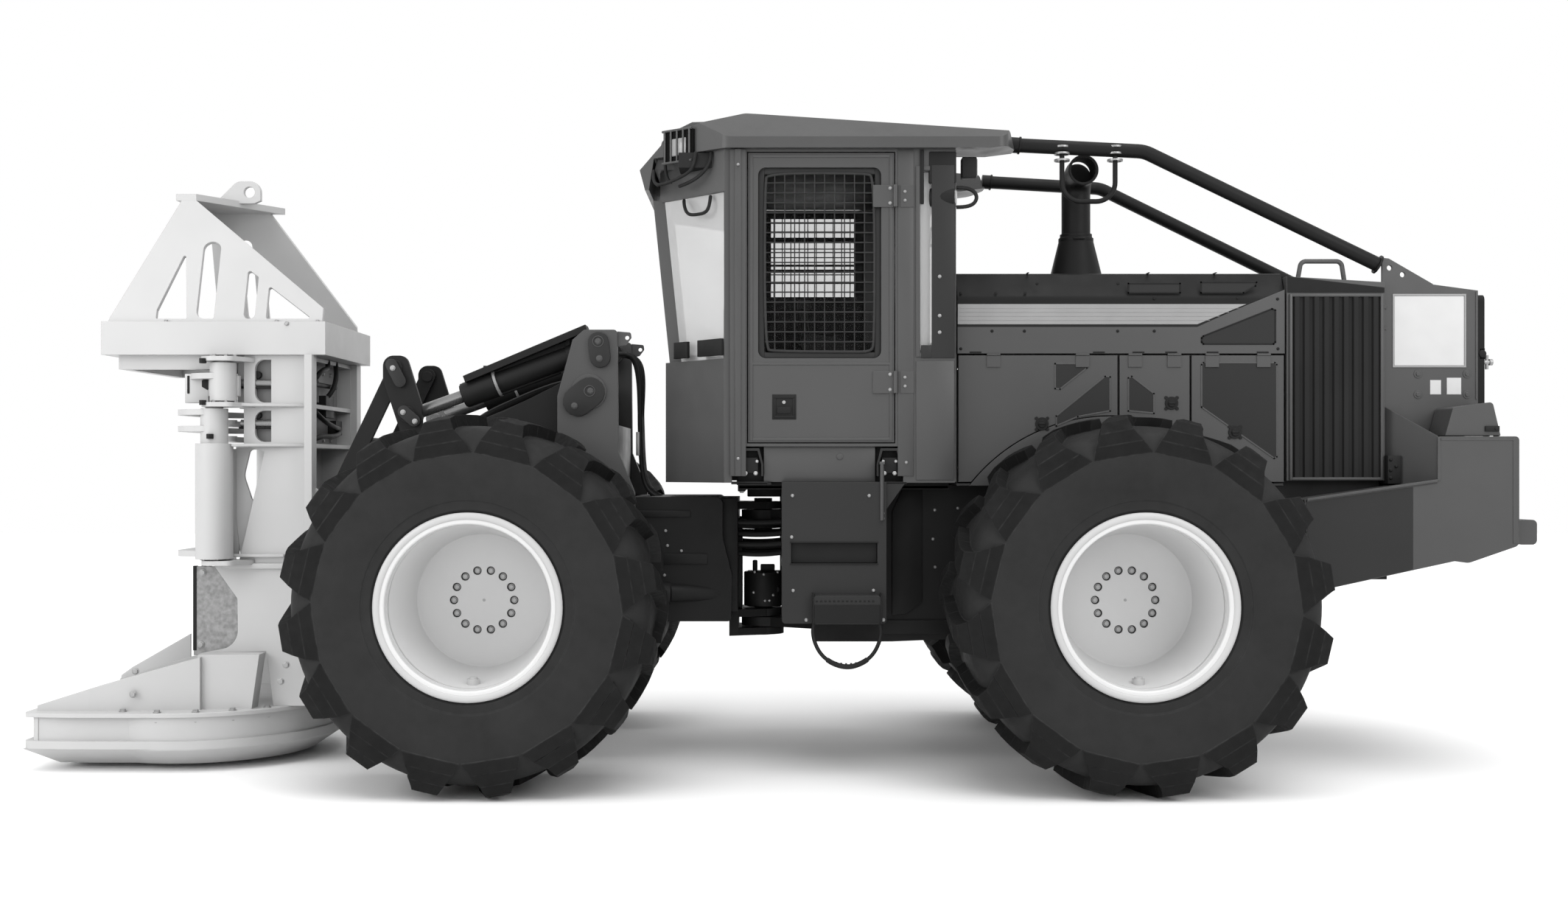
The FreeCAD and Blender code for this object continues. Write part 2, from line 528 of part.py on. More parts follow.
lift_rod_bar = rod("lift_rod_bar", "sizes.lift_rod_radius", along(lift_base, lift_tip, 300),
                   along(lift_base, lift_tip, LIFT_LENGTH - 30))
lift_piston = rod("lift_piston", d.lift_rod_radius + 11, along(lift_base, lift_tip, 262),
                  along(lift_base, lift_tip, 312))
lift_rod_eye = cross_pin("lift_rod_eye", 54, d.lift_eye_x, d.lift_eye_z, d.lift_cylinder_y - 43,
                         d.lift_cylinder_y + 43)
keep("lift_rods",
     group("lift_rods", both_sides(join("lift_rod_left", [lift_rod_bar, lift_piston, lift_rod_eye]))))

# ---- felling head ----------------------------------------------------------------------------

HOUSING_LOW, PAN_TOP, WINDOW_TOP, HORN_REACH = 28, 166, 287, 728
HORN_HALF = 700
HORN_OUTLINE = [(d.saw_x + 20, -726), (d.saw_x + 480, -722, 200), (d.saw_x + HORN_REACH, -HORN_HALF, 50),
                (d.saw_x + HORN_REACH, HORN_HALF, 50), (d.saw_x + 480, 722, 200), (d.saw_x + 20, 726)]
housing_pan = turned("housing_pan", "Z", [(0, HOUSING_LOW), (590, HOUSING_LOW),
                                          (d.housing_radius, 118, 10), (d.housing_radius, PAN_TOP),
                                          (0, PAN_TOP)], (d.saw_x, 0, 0))
NOSE_STEPS = ((0, 560, 727), (400, 560, 722), (HORN_REACH - 130, 545, None), (HORN_REACH, None, 698))


def nose_section(column, height):
    """One level of the pan's nose, its near side and its mirrored far side."""
    near = [(d.saw_x + step[0], -step[column], height) for step in NOSE_STEPS if step[column]]
    return near + [(x, -y, z) for x, y, z in reversed(near)]


pan_nose = loft("pan_nose", [nose_section(1, HOUSING_LOW), nose_section(2, 125)])
pan_lip = plate("pan_lip", "XY_Plane", PAN_TOP - 125, 125, [HORN_OUTLINE])
housing_plate = turned("housing_plate", "Z", [(0, WINDOW_TOP), (d.housing_radius, WINDOW_TOP),
                                              (d.housing_radius, d.housing_top, 6), (0, d.housing_top)],
                       (d.saw_x, 0, 0))
horn_plate = plate("horn_plate", "XY_Plane", d.housing_top - WINDOW_TOP, WINDOW_TOP, [HORN_OUTLINE])
housing_ring = turned("housing_ring", "Z", [(d.disc_radius + 14, PAN_TOP - 4),
                                            (d.housing_radius - 14, PAN_TOP - 4),
                                            (d.housing_radius - 14, WINDOW_TOP + 4),
                                            (d.disc_radius + 14, WINDOW_TOP + 4)], (d.saw_x, 0, 0))
FRONT_CUT_X = d.saw_x + 260
ring_front = block("ring_front", (FRONT_CUT_X, -500, PAN_TOP + 1), (d.saw_x + 800, 500, WINDOW_TOP - 1))
plate_throat = plate("plate_throat", "XY_Plane", 60, WINDOW_TOP - 20, [
    [(d.saw_x + 800, -420), (d.saw_x + 420, -300, 60), (d.saw_x + 60, -300, 260), (d.saw_x - 120, 0, 120),
     (d.saw_x + 60, 300, 260), (d.saw_x + 420, 300, 60), (d.saw_x + 800, 420)]])
pan_throat = plate("pan_throat", "XY_Plane", 200, HOUSING_LOW - 10, [
    [(d.saw_x + 800, -400), (d.saw_x + 600, -320, 80), (d.saw_x + 600, 320, 80), (d.saw_x + 800, 400)]])
spindle_bore = rod("saw_bore", 60 + d.pin_clearance, (d.saw_x, 0, 60), (d.saw_x, 0, 175))
tip_post = block("tip_post", (d.saw_x + 650, 560, PAN_TOP - 4), (d.saw_x + 674, 694, WINDOW_TOP + 4))
side_wall = block("housing_side_wall", (d.saw_x - 20, 676, PAN_TOP - 4),
                  (d.saw_x + 674, 690, WINDOW_TOP + 4))
housing_shell = cut("housing_shell",
                    join("housing_body", [housing_pan, pan_nose, pan_lip, housing_plate, horn_plate,
                                          housing_ring]),
                    [plate_throat, pan_throat, ring_front, spindle_bore])

saw_profile = [(0, 80), (60, 80), (60, d.disc_z - 12), (150, d.disc_z - 12, 10), (170, d.disc_z),
               (d.disc_radius, d.disc_z), (d.disc_radius, d.disc_z + d.disc_thickness),
               (0, d.disc_z + d.disc_thickness)]
keep("saw_disc", turned("saw_disc", "Z", saw_profile, (d.saw_x, 0, 0)))

column_side = plate("column_side", "XZ_Plane", "sizes.column_plate", d.column_half - d.column_plate, [
    [(2474, 2170), (2474, 310), (2663, 310), (2700, 600), (3060, 586), (2850, 628, 100), (2853, 879, 30),
     (2975, 1051), (2975, 1062), (2843, 1084), (2710, 1657), (2819, 1692), (2819, 2170)],
    [(2674, 2146), (2674, 1919), (2760, 1919, 50), (2760, 2146, 50)],
    [(2674, 1876), (2674, 1710), (2760, 1710, 50), (2760, 1876, 50)]])
column_inner = d.column_half - d.column_plate
throat_back = plate("throat_back", "YZ_Plane", 30, 2640, [
    [(-column_inner, 310), (column_inner, 310), (column_inner, 2170), (-column_inner, 2170)],
    [(-150, 1250, 60), (150, 1250, 60), (150, 1640, 60), (-150, 1640, 60)]])
shelves = [block("shelf_%d" % z, (2474, -column_inner, z), (2650, column_inner, z + 22))
           for z in (320, 588, 1095, 1680, 1892, 2146)]
rear_flange = plate("rear_flange", "XZ_Plane", 90, d.column_half - 20, [
    [(2439, 2170), (2439, 700), (2480, 640), (2480, 2170)]])
ear_outline = [(2480, 310), (2480, 1500), (d.head_link_x, 1420, 50),
               (d.head_link_x - 76, d.head_link_z + 20, 50), (d.head_link_x - 60, 1180, 40),
               (d.head_pivot_x + 20, 900, 40), (d.head_pivot_x - 95, d.head_pivot_z + 60, 80),
               (d.head_pivot_x - 90, d.head_pivot_z - 95, 80), (d.head_pivot_x + 60, 400, 60)]
head_ear = plate("head_ear", "XZ_Plane", "sizes.column_plate", d.column_half - d.column_plate,
                 [ear_outline])
head_pin = cross_pin("head_pin", "sizes.main_pin_radius", d.head_pivot_x, d.head_pivot_z,
                     d.boom_arm_offset - 20,
                     d.column_half + 12)
link_pin = cross_pin("link_pin", 30, d.head_link_x, d.head_link_z, d.link_offset - 10, d.column_half + 12)
stem_guard = plate("stem_guard", "XZ_Plane", 20, 384, [
    [(2660, 1096), (2850, 1096), (2875, 1300), (2875, 1684), (2660, 1684)],
    [(2720, 1400, 30), (2785, 1385, 30), (2834, 1530, 90), (2800, 1670, 24), (2720, 1670, 24)]])
column_parts = (both_sides(column_side) + both_sides(stem_guard) + [throat_back] + shelves
                + both_sides(rear_flange) + both_sides(head_ear) + both_sides(head_pin)
                + both_sides(link_pin))

WING_INNER, WING_OUTER = 452, 600
wing_plan = plate("wing_plan", "XY_Plane", 320, d.housing_top - 10, [
    [(3000, WING_INNER), (d.saw_x + HORN_REACH - 30, WING_INNER), (d.saw_x + HORN_REACH - 30, 640),
     (3560, 640), (3000, WING_OUTER)]])
wing_side = plate("wing_side", "XZ_Plane", 200, WING_INNER, [
    [(2990, d.housing_top - 6), (2990, 586), (3560, 425), (3830, 340), (3830, d.housing_top - 6)]])
wing = common("wing_left", [wing_plan, wing_side])
gusset = loft("gusset_left", [
    [(2745, WING_INNER, 300), (3073, WING_INNER, 300), (3073, 575, 300), (2745, 560, 300)],
    [(2703, WING_INNER, 595), (3020, WING_INNER, 595), (3020, 575, 595), (2703, 560, 595)]])
keep("saw_housing", join("saw_housing", [housing_shell] + both_sides(tip_post) + both_sides(side_wall)
                         + both_sides(wing) + both_sides(gusset)))

knee_plate = plate("knee_plate", "XZ_Plane", 24, d.column_half - 66, [
    [(3100, 574), (3100, 1047), (2846, 1047), (2846, 574)]])
keep("knee_plates", group("knee_plates", both_sides(knee_plate)))

DECK_REAR_X, DECK_WALL = 2376, 20
deck_body = plate("deck_body", "XY_Plane", "sizes.deck_high - sizes.deck_low", d.deck_low, [
    [(d.deck_front_x, -d.deck_half), (DECK_REAR_X, -d.deck_half), (DECK_REAR_X, d.deck_half),
     (d.deck_front_x, d.deck_half)]])
deck_hollow = plate("deck_hollow", "XY_Plane", 200, d.deck_low + DECK_WALL,
                    [[(d.deck_front_x - DECK_WALL, -d.deck_half + DECK_WALL),
                      (DECK_REAR_X + DECK_WALL, -d.deck_half + DECK_WALL),
                      (DECK_REAR_X + DECK_WALL, d.deck_half - DECK_WALL),
                      (d.deck_front_x - DECK_WALL, d.deck_half - DECK_WALL)]])
deck_under = plate("deck_under", "XY_Plane", 74, d.deck_low - 74,
                   [[(3490, -430), (3000, -430), (3000, 430), (3490, 430)],
                    [(3440, -390), (3440, 390), (3040, 390), (3040, -390)]])
keep("head_deck", join("head_deck", [cut("deck_tray", deck_body, [deck_hollow]), deck_under]))

TOWER_FOOT, TOWER_HEAD, TOWER_TOP_Y, TOWER_PLATE, TOWER_SPLAY = 2289, 3024, 225, 25, 17.25
TRAY_FLOOR = d.deck_low + DECK_WALL


def splayed(source, side):
    """Lean a tower plate outwards below its top edge."""
    hinge = Vector(0, side * TOWER_TOP_Y, TOWER_HEAD)
    source.Placement = Placement(Vector(), Rotation(Vector(1, 0, 0), side * TOWER_SPLAY),
                                 hinge).multiply(source.Placement)
    return source


tower_left = splayed(plate("tower_left", "XZ_Plane", TOWER_PLATE, TOWER_TOP_Y, [
    [(3536, TOWER_FOOT), (3530, TOWER_FOOT + 40), (3216, TOWER_HEAD), (3150, TOWER_HEAD), (2400, 2385),
     (2400, TOWER_FOOT)],
    [(3164, 2715, 8), (3284, 2375, 8), (3284, 2324, 8), (3120, 2324, 8)],
    [(3072, 2324, 46), (3072, 2770, 46), (2977, 2770, 46), (2977, 2324, 10)],
    [(2820, 2324, 28), (2820, 2610, 12), (2760, 2565, 12), (2760, 2324, 28)],
    [(2700, 2515, 10), (2700, 2324, 10), (2455, 2324, 8)]]), 1)
tower_right = splayed(plate("tower_right", "XZ_Plane", TOWER_PLATE, -TOWER_TOP_Y - TOWER_PLATE, [
    [(3240, TOWER_FOOT), (3232, TOWER_HEAD), (2885, TOWER_HEAD), (2440, TOWER_FOOT + 70),
     (2440, TOWER_FOOT)],
    [(3068, 2400, 31), (3068, 2870, 31), (3003, 2870, 31), (3003, 2400, 31)],
    [(2945, 2770, 10), (2945, 2400, 10), (2665, 2400, 8)]]), -1)
tower_cap = plate("tower_cap", "XY_Plane", 36, TOWER_HEAD - 2, [
    [(3250, 252), (3140, 252), (2806, -252), (3250, -252)]])
tower_web = plate("tower_web", "YZ_Plane", 24, 3190, [
    [(-250, TOWER_HEAD), (-290, 2860, 20), (290, 2860, 20), (250, TOWER_HEAD)]])
eye_lug = plate("lift_lug_eye", "XZ_Plane", 30, -15, [
    [(2900, TOWER_HEAD + 20), (3120, TOWER_HEAD + 20), (2995, 3168, 60), (2865, 3168, 60), (2865, 3060)]],
    [(2927, 3107, d.lift_eye_hole)])
tower_feet = [block("tower_foot_left", (2400, 432, TRAY_FLOOR), (3530, 457, 2340)),
              block("tower_foot_right", (2440, -457, TRAY_FLOOR), (3240, -432, 2340))]
keep("head_tower", join("head_tower", [tower_left, tower_right, tower_cap, tower_web,
                                       eye_lug] + tower_feet))

BRACKET_LEVELS = (1062, 1892, 2132)


def arm_bracket(level):
    """A shelf of the column that holds the arms' pins."""
    tip = d.arm_hub_x + 60
    return plate("arm_bracket_%d" % level, "XY_Plane", 24, level, [
        [(2760, 410), (2760, 452), (2840, 612, 40), (tip, 612, 80), (tip, 430, 60), (2870, 410)]])


bracket_sides = [block("arm_bracket_side", (2780, 402, 1892), (2860, 419, 2156)),
                 block("arm_bracket_low_side", (2790, 402, 1062), (2960, 419, 1086))]
arm_pins = [rod("arm_pin_low", 45, (d.arm_hub_x, d.arm_hub_y, 1070), (d.arm_hub_x, d.arm_hub_y, 1900)),
            rod("arm_pin_high", 40, (d.accumulator_x, d.accumulator_y, 1900),
                (d.accumulator_x, d.accumulator_y, 2140))]
arm_mounts = join("arm_mounts", [arm_bracket(level) for level in BRACKET_LEVELS] + bracket_sides
                  + arm_pins)
keep("head_column", join("head_column", column_parts + both_sides(arm_mounts)))


def grab_arm(name, side, hub, levels, tubes, pin_radius, reach, bulge):
    """A grab arm, shut across the throat: hub tubes on their pin and plates that hook round the stems."""
    x, y = hub
    hub_tubes = [rod("%s_hub_%d" % (name, low), radius, (x, side * y, low), (x, side * y, high))
                 for low, high, radius in tubes]
    low, high = min(tube[0] for tube in tubes), max(tube[1] for tube in tubes)
    bore = rod(name + "_bore", pin_radius + d.pin_clearance, (x, side * y, low - 5),
               (x, side * y, high + 5))
    outer = [(x - 72, side * (y - 30), 60), (x + 10, side * (y + 74), 70),
             (x + bulge, side * (y + 10), 120), (x + bulge, side * (y - reach * 0.7), 200),
             (x + bulge - 150, side * (y - reach), 30), (x + bulge - 190, side * (y - reach + 30), 20),
             (x + bulge - 90, side * (y - reach * 0.62), 120), (x + bulge - 110, side * (y - 130), 90)]
    plates = [plate("%s_plate_%d" % (name, z), "XY_Plane", "sizes.arm_plate", z, [outer]) for z in levels]
    return keep(name, cut(name, join(name + "_body", hub_tubes + plates), [bore]))


LOW_HUB, HIGH_HUB = (d.arm_hub_x, d.arm_hub_y), (d.accumulator_x, d.accumulator_y)
LOW_TUBES = ((1094, 1700, d.arm_hub_radius), (1700, 1884, 70))
HIGH_TUBES = ((1924, 2124, 68),)
grab_arm("harvest_arm_left", 1, LOW_HUB, (1108, 1763, 1850), LOW_TUBES, 45, 620, 212)
grab_arm("harvest_arm_right", -1, LOW_HUB, (1150, 1718, 1807), LOW_TUBES, 45, 620, 212)
grab_arm("accumulator_arm_left", 1, HIGH_HUB, (2040,), HIGH_TUBES, 40, 600, 190)
grab_arm("accumulator_arm_right", -1, HIGH_HUB, (1945,), HIGH_TUBES, 40, 600, 190)

# ---- cab -------------------------------------------------------------------------------------

WALL, HALF, CEILING = d.cab_wall, d.cab_half, d.cab_ceiling
REAR_WINDOW = [(-880, 2165, 30), (-735, 2165, 30), (-735, 3090, 30), (-880, 3090, 30)]
side_outline = [(d.cab_rear_x, d.cab_bottom), (-655, d.cab_bottom), (-655, 1682), (223, 1682),
                (223, d.cab_bottom), (d.cab_corner_x, d.cab_bottom), (d.cab_corner_x, CEILING),
                (d.cab_rear_x, CEILING)]
door_hole = [(d.door_rear_x - d.door_gap, d.door_sill - d.door_gap),
             (d.door_front_x + d.door_gap, d.door_sill - d.door_gap),
             (d.door_front_x + d.door_gap, CEILING - 14), (d.door_rear_x - d.door_gap, CEILING - 14)]
left_wall = plate("cab_left_wall", "XZ_Plane", "sizes.cab_wall", HALF - WALL,
                  [side_outline, door_hole, REAR_WINDOW])
right_window = [(-542, d.cab_belt, 40), (88, d.cab_belt, 40), (88, 3125, 40), (-542, 3125, 40)]
right_wall = plate("cab_right_wall", "XZ_Plane", "sizes.cab_wall", -HALF,
                   [side_outline, right_window, REAR_WINDOW])
HINGE_SPANS = ((1954, 2066), (2906, 3019))
fixed_leaves = [block("hinge_fixed_leaf_%d" % low, (-708, HALF - 2, low), (-640, HALF + 8, high))
                for low, high in HINGE_SPANS]
keep("cab_side_walls", group("cab_side_walls", [join("cab_left_side", [left_wall] + fixed_leaves),
                                                right_wall]))
keep("cab_rear_wall", plate("cab_rear_wall", "YZ_Plane", "sizes.cab_wall", d.cab_rear_x, [
    [(-HALF + WALL, d.cab_bottom), (HALF - WALL, d.cab_bottom), (HALF - WALL, CEILING),
     (-HALF + WALL, CEILING)],
    [(-560, 2260, 50), (560, 2260, 50), (560, 3060, 50), (-560, 3060, 50)]]))


def nose_band(low_z, depth, name, inner=44, setback=0.0):
    """A band of the cab's tapered front, seen from above."""
    front, nose, corner = d.cab_front_x - setback, d.cab_nose_half, d.cab_corner_x
    return plate(name, "XY_Plane", depth, low_z, [
        [(corner, HALF), (front, nose), (front, -nose), (corner, -HALF), (corner, -HALF + WALL),
         (front - inner, -nose + 24), (front - inner, nose - 24), (corner, HALF - WALL)]])


nose_low = nose_band(d.cab_bottom, "sizes.cab_belt - sizes.cab_bottom", "nose_low")
nose_top = nose_band(2990, "sizes.cab_ceiling - 2990", "nose_top", 44, -30)
front_pillar = plate("front_pillar", "XZ_Plane", 60, d.cab_nose_half - 50, [
    [(490, d.cab_belt - 10), (562, d.cab_belt - 10), (652, 3000), (580, 3000)]])
keep("cab_front_wall", join("cab_front_wall", [nose_low, nose_top] + both_sides(front_pillar)))
floor_outline = [(d.cab_rear_x + WALL, -HALF + WALL), (d.cab_corner_x, -HALF + WALL),
                 (d.cab_front_x - 46, -d.cab_nose_half + 24), (d.cab_front_x - 46, d.cab_nose_half - 24),
                 (d.cab_corner_x, HALF - WALL), (d.cab_rear_x + WALL, HALF - WALL)]
floor_plate = plate("cab_floor_plate", "XY_Plane", 22, 1680, [floor_outline])
under_door = plate("under_door", "XZ_Plane", 40, 700,
                   [[(-507, 1504), (51, 1504), (51, 1682), (-507, 1682)]])
cab_mounts = [block("cab_mount_%d" % i, (x, y, d.frame_top), (x + 150, y + 85, 1682))
              for i, (x, y) in enumerate(((-650, 352), (-650, -437), (-260, 352), (-260, -437)))]
keep("cab_floor", join("cab_floor", [floor_plate] + cab_mounts + both_sides(under_door)))

roof_side = plate("roof_side", "XZ_Plane", 1640, -820, [
    [(720, 3154, 6), (559, 3306), (155, 3420, 60), (-1206, 3300, 20), (-1241, 3222), (-1100, CEILING),
     (640, CEILING),
     (668, 3044), (690, 3044)]])
roof_plan = plate("roof_plan", "XY_Plane", 500, 3000, [
    [(-1241, -640, 60), (-1180, -800, 60), (250, -800, 80), (560, -560, 80), (722, -430), (722, 430),
     (560, 560, 80),
     (250, 800, 80), (-1180, 800, 60), (-1241, 640, 60)]])
roof_front = plate("roof_front", "YZ_Plane", 2000, -1250, [
    [(-800, 3000), (800, 3000), (800, 3262), (600, 3426, 60), (-600, 3426, 60), (-800, 3262)]])
roof_notch = block("roof_notch", (-1300, -535, 3000), (-935, 535, 3500))
keep("cab_roof", cut("cab_roof", common("roof_block", [roof_side, roof_plan, roof_front]), [roof_notch]))

glass = d.glass_thickness
windscreen = plate("windscreen", "XZ_Plane", 2 * (d.cab_nose_half - 52), -d.cab_nose_half + 52, [
    [(524, d.cab_belt + 1), (524 + glass, d.cab_belt + 1), (612 + glass, 2989), (612, 2989)]])
corner_pane = loft("corner_pane",
                   [[(d.cab_corner_x + 2, HALF - 34, d.cab_belt + 1),
                     (500, d.cab_nose_half + 20, d.cab_belt + 1),
                     (500, d.cab_nose_half + 20 - glass, d.cab_belt + 1),
                     (d.cab_corner_x + 2, HALF - 34 - glass, d.cab_belt + 1)],
                    [(d.cab_corner_x + 2, HALF - 34, 2989), (588, d.cab_nose_half + 20, 2989),
                     (588, d.cab_nose_half + 20 - glass, 2989),
                     (d.cab_corner_x + 2, HALF - 34 - glass, 2989)]])
rear_side_pane = plate("rear_side_pane", "XZ_Plane", "sizes.glass_thickness", HALF - 34, [
    [(-879.5, 2165.5, 30), (-735.5, 2165.5, 30), (-735.5, 3089.5, 30), (-879.5, 3089.5, 30)]])
right_pane = plate("right_pane", "XZ_Plane", "sizes.glass_thickness", -HALF + 26, [
    [(-541.5, d.cab_belt + 0.5, 40), (87.5, d.cab_belt + 0.5, 40), (87.5, 3124.5, 40),
     (-541.5, 3124.5, 40)]])
rear_pane = plate("rear_pane", "YZ_Plane", "sizes.glass_thickness", d.cab_rear_x + 26, [
    [(-559.5, 2260.5, 50), (559.5, 2260.5, 50), (559.5, 3059.5, 50), (-559.5, 3059.5, 50)]])
keep("cab_glass", group("cab_glass", [windscreen, right_pane, rear_pane] + both_sides(corner_pane)
                        + both_sides(rear_side_pane)))

DOOR_WINDOW = [(-542, d.cab_belt, 40), (88, d.cab_belt, 40), (88, 3110, 40), (-542, 3110, 40)]
door_leaf = plate("door_leaf", "XZ_Plane", "sizes.cab_wall", HALF - WALL, [
    [(d.door_rear_x, d.door_sill), (d.door_front_x, d.door_sill), (d.door_front_x, CEILING - 20),
     (d.door_rear_x, CEILING - 20)], DOOR_WINDOW])
DOOR_HINGE_X, DOOR_HINGE_Y = -614, 774
door_hinges = []
for low, high in HINGE_SPANS:
    door_hinges += [rod("door_hinge_barrel_%d" % low, 12, (DOOR_HINGE_X, DOOR_HINGE_Y, low),
                        (DOOR_HINGE_X, DOOR_HINGE_Y, high)),
                    block("door_hinge_leaf_%d" % low, (-606, HALF - 2, low), (-500, HALF + 8, high))]
keep("cab_door", join("cab_door", [door_leaf] + door_hinges))
keep("door_glass", plate("door_glass", "XZ_Plane", "sizes.glass_thickness", HALF - 40, [
    [(-541.5, d.cab_belt + 0.5, 40), (87.5, d.cab_belt + 0.5, 40), (87.5, 3109.5, 40),
     (-541.5, 3109.5, 40)]]))

seat_base = block("seat_base", (-560, -200, 1702), (-160, 200, 1960))
seat_cushion = block("seat_cushion_block", (-600, -250, 1961), (-90, 250, 2082))
seat_back = plate("seat_back", "XZ_Plane", 480, -240, [
    [(-560, 2090, 20), (-690, 2800, 40), (-800, 2790, 40), (-690, 2090, 20)]])
keep("seat_cushions", group("seat_cushions", [seat_cushion, seat_back]))
console_left = plate("console", "XZ_Plane", 120, 290, [
    [(-640, 1702), (-200, 1702), (-200, 2160, 60), (-120, 2240, 40), (-180, 2290, 40), (-600, 2220, 60)]])
keep("seat_base_and_consoles", group("seat_base_and_consoles", both_sides(console_left) + [seat_base]))

# ---- hood and engine doors -------------------------------------------------------------------

HOOD_LOW = d.hood_seam
hood_outer = [(-d.hood_half, HOOD_LOW), (-d.hood_half, 2460, 30), (-565, d.hood_top, 30),
              (565, d.hood_top, 30),
              (d.hood_half, 2460, 30), (d.hood_half, HOOD_LOW)]
shell = d.hood_shell
hood_block = plate("hood_block", "YZ_Plane", "sizes.hood_front_x - sizes.hood_rear_x", d.hood_rear_x,
                   [hood_outer])
hood_inside = plate("hood_inside", "YZ_Plane",
                    "sizes.hood_front_x - sizes.hood_rear_x - 2 * sizes.hood_shell",
                    d.hood_rear_x + shell,
                    [[(-d.hood_half + shell, HOOD_LOW - 5), (-d.hood_half + shell, 2450, 20),
                      (-556, d.hood_top - shell, 20), (556, d.hood_top - shell, 20),
                      (d.hood_half - shell, 2450, 20), (d.hood_half - shell, HOOD_LOW - 5)]])
keep("hood", cut("hood", hood_block, [hood_inside]))

ARCH = d.tyre_radius + d.arch_gap
arch_disc = cross_pin("arch_disc", ARCH - 6, d.rear_axle_x, d.tyre_radius, d.hood_half - d.door_panel,
                      d.hood_half)
arch_slab = block("arch_slab", (d.rear_axle_x - ARCH, d.hood_half - 60, d.frame_top),
                  (d.rear_axle_x + ARCH, d.hood_half + 40, d.hood_seam))
arch_panel = common("arch_panel", [arch_disc, arch_slab])
DOOR_SPANS = (("front", -951, -1776), ("middle", -1788, -2150), ("rear", -2162, -2640))
post_xs = ((-1776, -1788), (-2150, -2162))
door_posts = [block("door_post_%d" % i, (low - 10, d.hood_half - d.door_panel - 30, d.frame_top),
                    (high + 10, d.hood_half - d.door_panel - 6, d.hood_seam - 2))
              for i, (high, low) in enumerate(post_xs)]
bay_floor = block("bay_floor", (d.hood_rear_x, 440, d.frame_top),
                  (d.hood_front_x, d.hood_half - d.door_panel, 1492))
bay_side = join("bay_side", [arch_panel, bay_floor] + door_posts)
bay_front = block("bay_front", (d.hood_front_x - 4, -d.hood_half + 38, d.frame_top),
                  (d.hood_front_x, d.hood_half - 38, d.hood_seam))
keep("engine_bay_panels", join("engine_bay_panels", both_sides(bay_side) + [bay_front]))


PANEL_HINGE_Y, PANEL_HINGE_Z, PANEL_HINGE_HALF = d.hood_half + 6, 2160, 35


def panel_hinge(name, side, x):
    """A strap with a round barrel on the door's hinge line."""
    barrel = rod(name + "_barrel", 5.5, (x - PANEL_HINGE_HALF, side * PANEL_HINGE_Y, PANEL_HINGE_Z),
                 (x + PANEL_HINGE_HALF, side * PANEL_HINGE_Y, PANEL_HINGE_Z))
    inner, outer = sorted((side * (d.hood_half - 2), side * PANEL_HINGE_Y))
    strap = block(name + "_strap", (x - PANEL_HINGE_HALF, inner, 2095),
                  (x + PANEL_HINGE_HALF, outer, 2159))
    return [barrel, strap]


def engine_door(name, side, start, end):
    """A panel hinged along its top edge, its lower edge arched over the tyre."""
    leaf = block(name + "_leaf", (end, side * d.hood_half if side < 0 else d.hood_half - d.door_panel,
                                  1500),
                 (start, -d.hood_half + d.door_panel if side < 0 else d.hood_half, d.hood_seam - 8))
    arch = cross_pin(name + "_arch", ARCH, d.rear_axle_x, d.tyre_radius,
                     side * d.hood_half - 60, side * d.hood_half + 60)
    inset = (start - end) * 0.22
    hinges = panel_hinge(name + "_hinge_front", side, start - inset)
    hinges += panel_hinge(name + "_hinge_rear", side, end + inset)
    return keep(name, join(name, [cut(name + "_panel", leaf, [arch])] + hinges))


for label, side in (("left", 1), ("right", -1)):
    for place, start, end in DOOR_SPANS:
        engine_door("engine_door_%s_%s" % (label, place), side, start, end)

# ---- cooling end, counterweight and bumper -----------------------------------------------------

cooler = plate("cooler_block", "XZ_Plane", "sizes.cooler_half * 2", -d.cooler_half, [
    [(-2652, 1506), (-2652, d.cooler_top), (-3160, d.cooler_top - 30), (-3160, 1506)]])
hood_handle = pipe("hood_handle", [(-2725, 590, 2540), (-2745, 590, 2650, 30), (-2955, 590, 2650, 30),
                                   (-2975, 590, 2520)], 12)
keep("cooler_housing", join("cooler_housing", [cooler] + both_sides(hood_handle)))

REAR_BOX_END = -3665
rear_box_side = plate("rear_box_side", "XZ_Plane", "sizes.rear_box_half * 2", -d.rear_box_half, [
    [(-3162, 1740), (-3162, 2530), (-3420, 2530), (REAR_BOX_END, 2497), (REAR_BOX_END, 1740)]])
rear_box_hollow = block("rear_box_hollow", (REAR_BOX_END - 5, -d.rear_box_half + 40, 1800),
                        (-3300, d.rear_box_half - 40, 2460))
guard_bracket = plate("guard_bracket", "XZ_Plane", 16, d.rear_box_half - 16, [
    [(-3165, 2520), (-3165, 2668, 12), (-3200, 2664, 12), (-3430, 2531), (-3430, 2520)]],
    [(-3204, 2615, 14), (-3272, 2580, 14)])
keep("rear_box", join("rear_box", [cut("rear_box_shell", rear_box_side,
                                       [rear_box_hollow])] + both_sides(guard_bracket)))
rear_leaf = plate("rear_door_leaf", "YZ_Plane", 46, REAR_BOX_END - 52, [
    [(-560, 1790, 30), (560, 1790, 30), (560, 2480, 30), (-560, 2480, 30)]])
REAR_HINGE_X, REAR_HINGE_Y = REAR_BOX_END - 52, -570
rear_hinges = []
for low, high in ((1900, 1980), (2290, 2370)):
    rear_hinges += [rod("rear_hinge_barrel_%d" % low, 9, (REAR_HINGE_X, REAR_HINGE_Y, low),
                        (REAR_HINGE_X, REAR_HINGE_Y, high)),
                    block("rear_hinge_strap_%d" % low, (REAR_HINGE_X - 6, REAR_HINGE_Y, low),
                          (REAR_HINGE_X + 2, -500, high))]
keep("rear_door", join("rear_door", [rear_leaf] + rear_hinges))

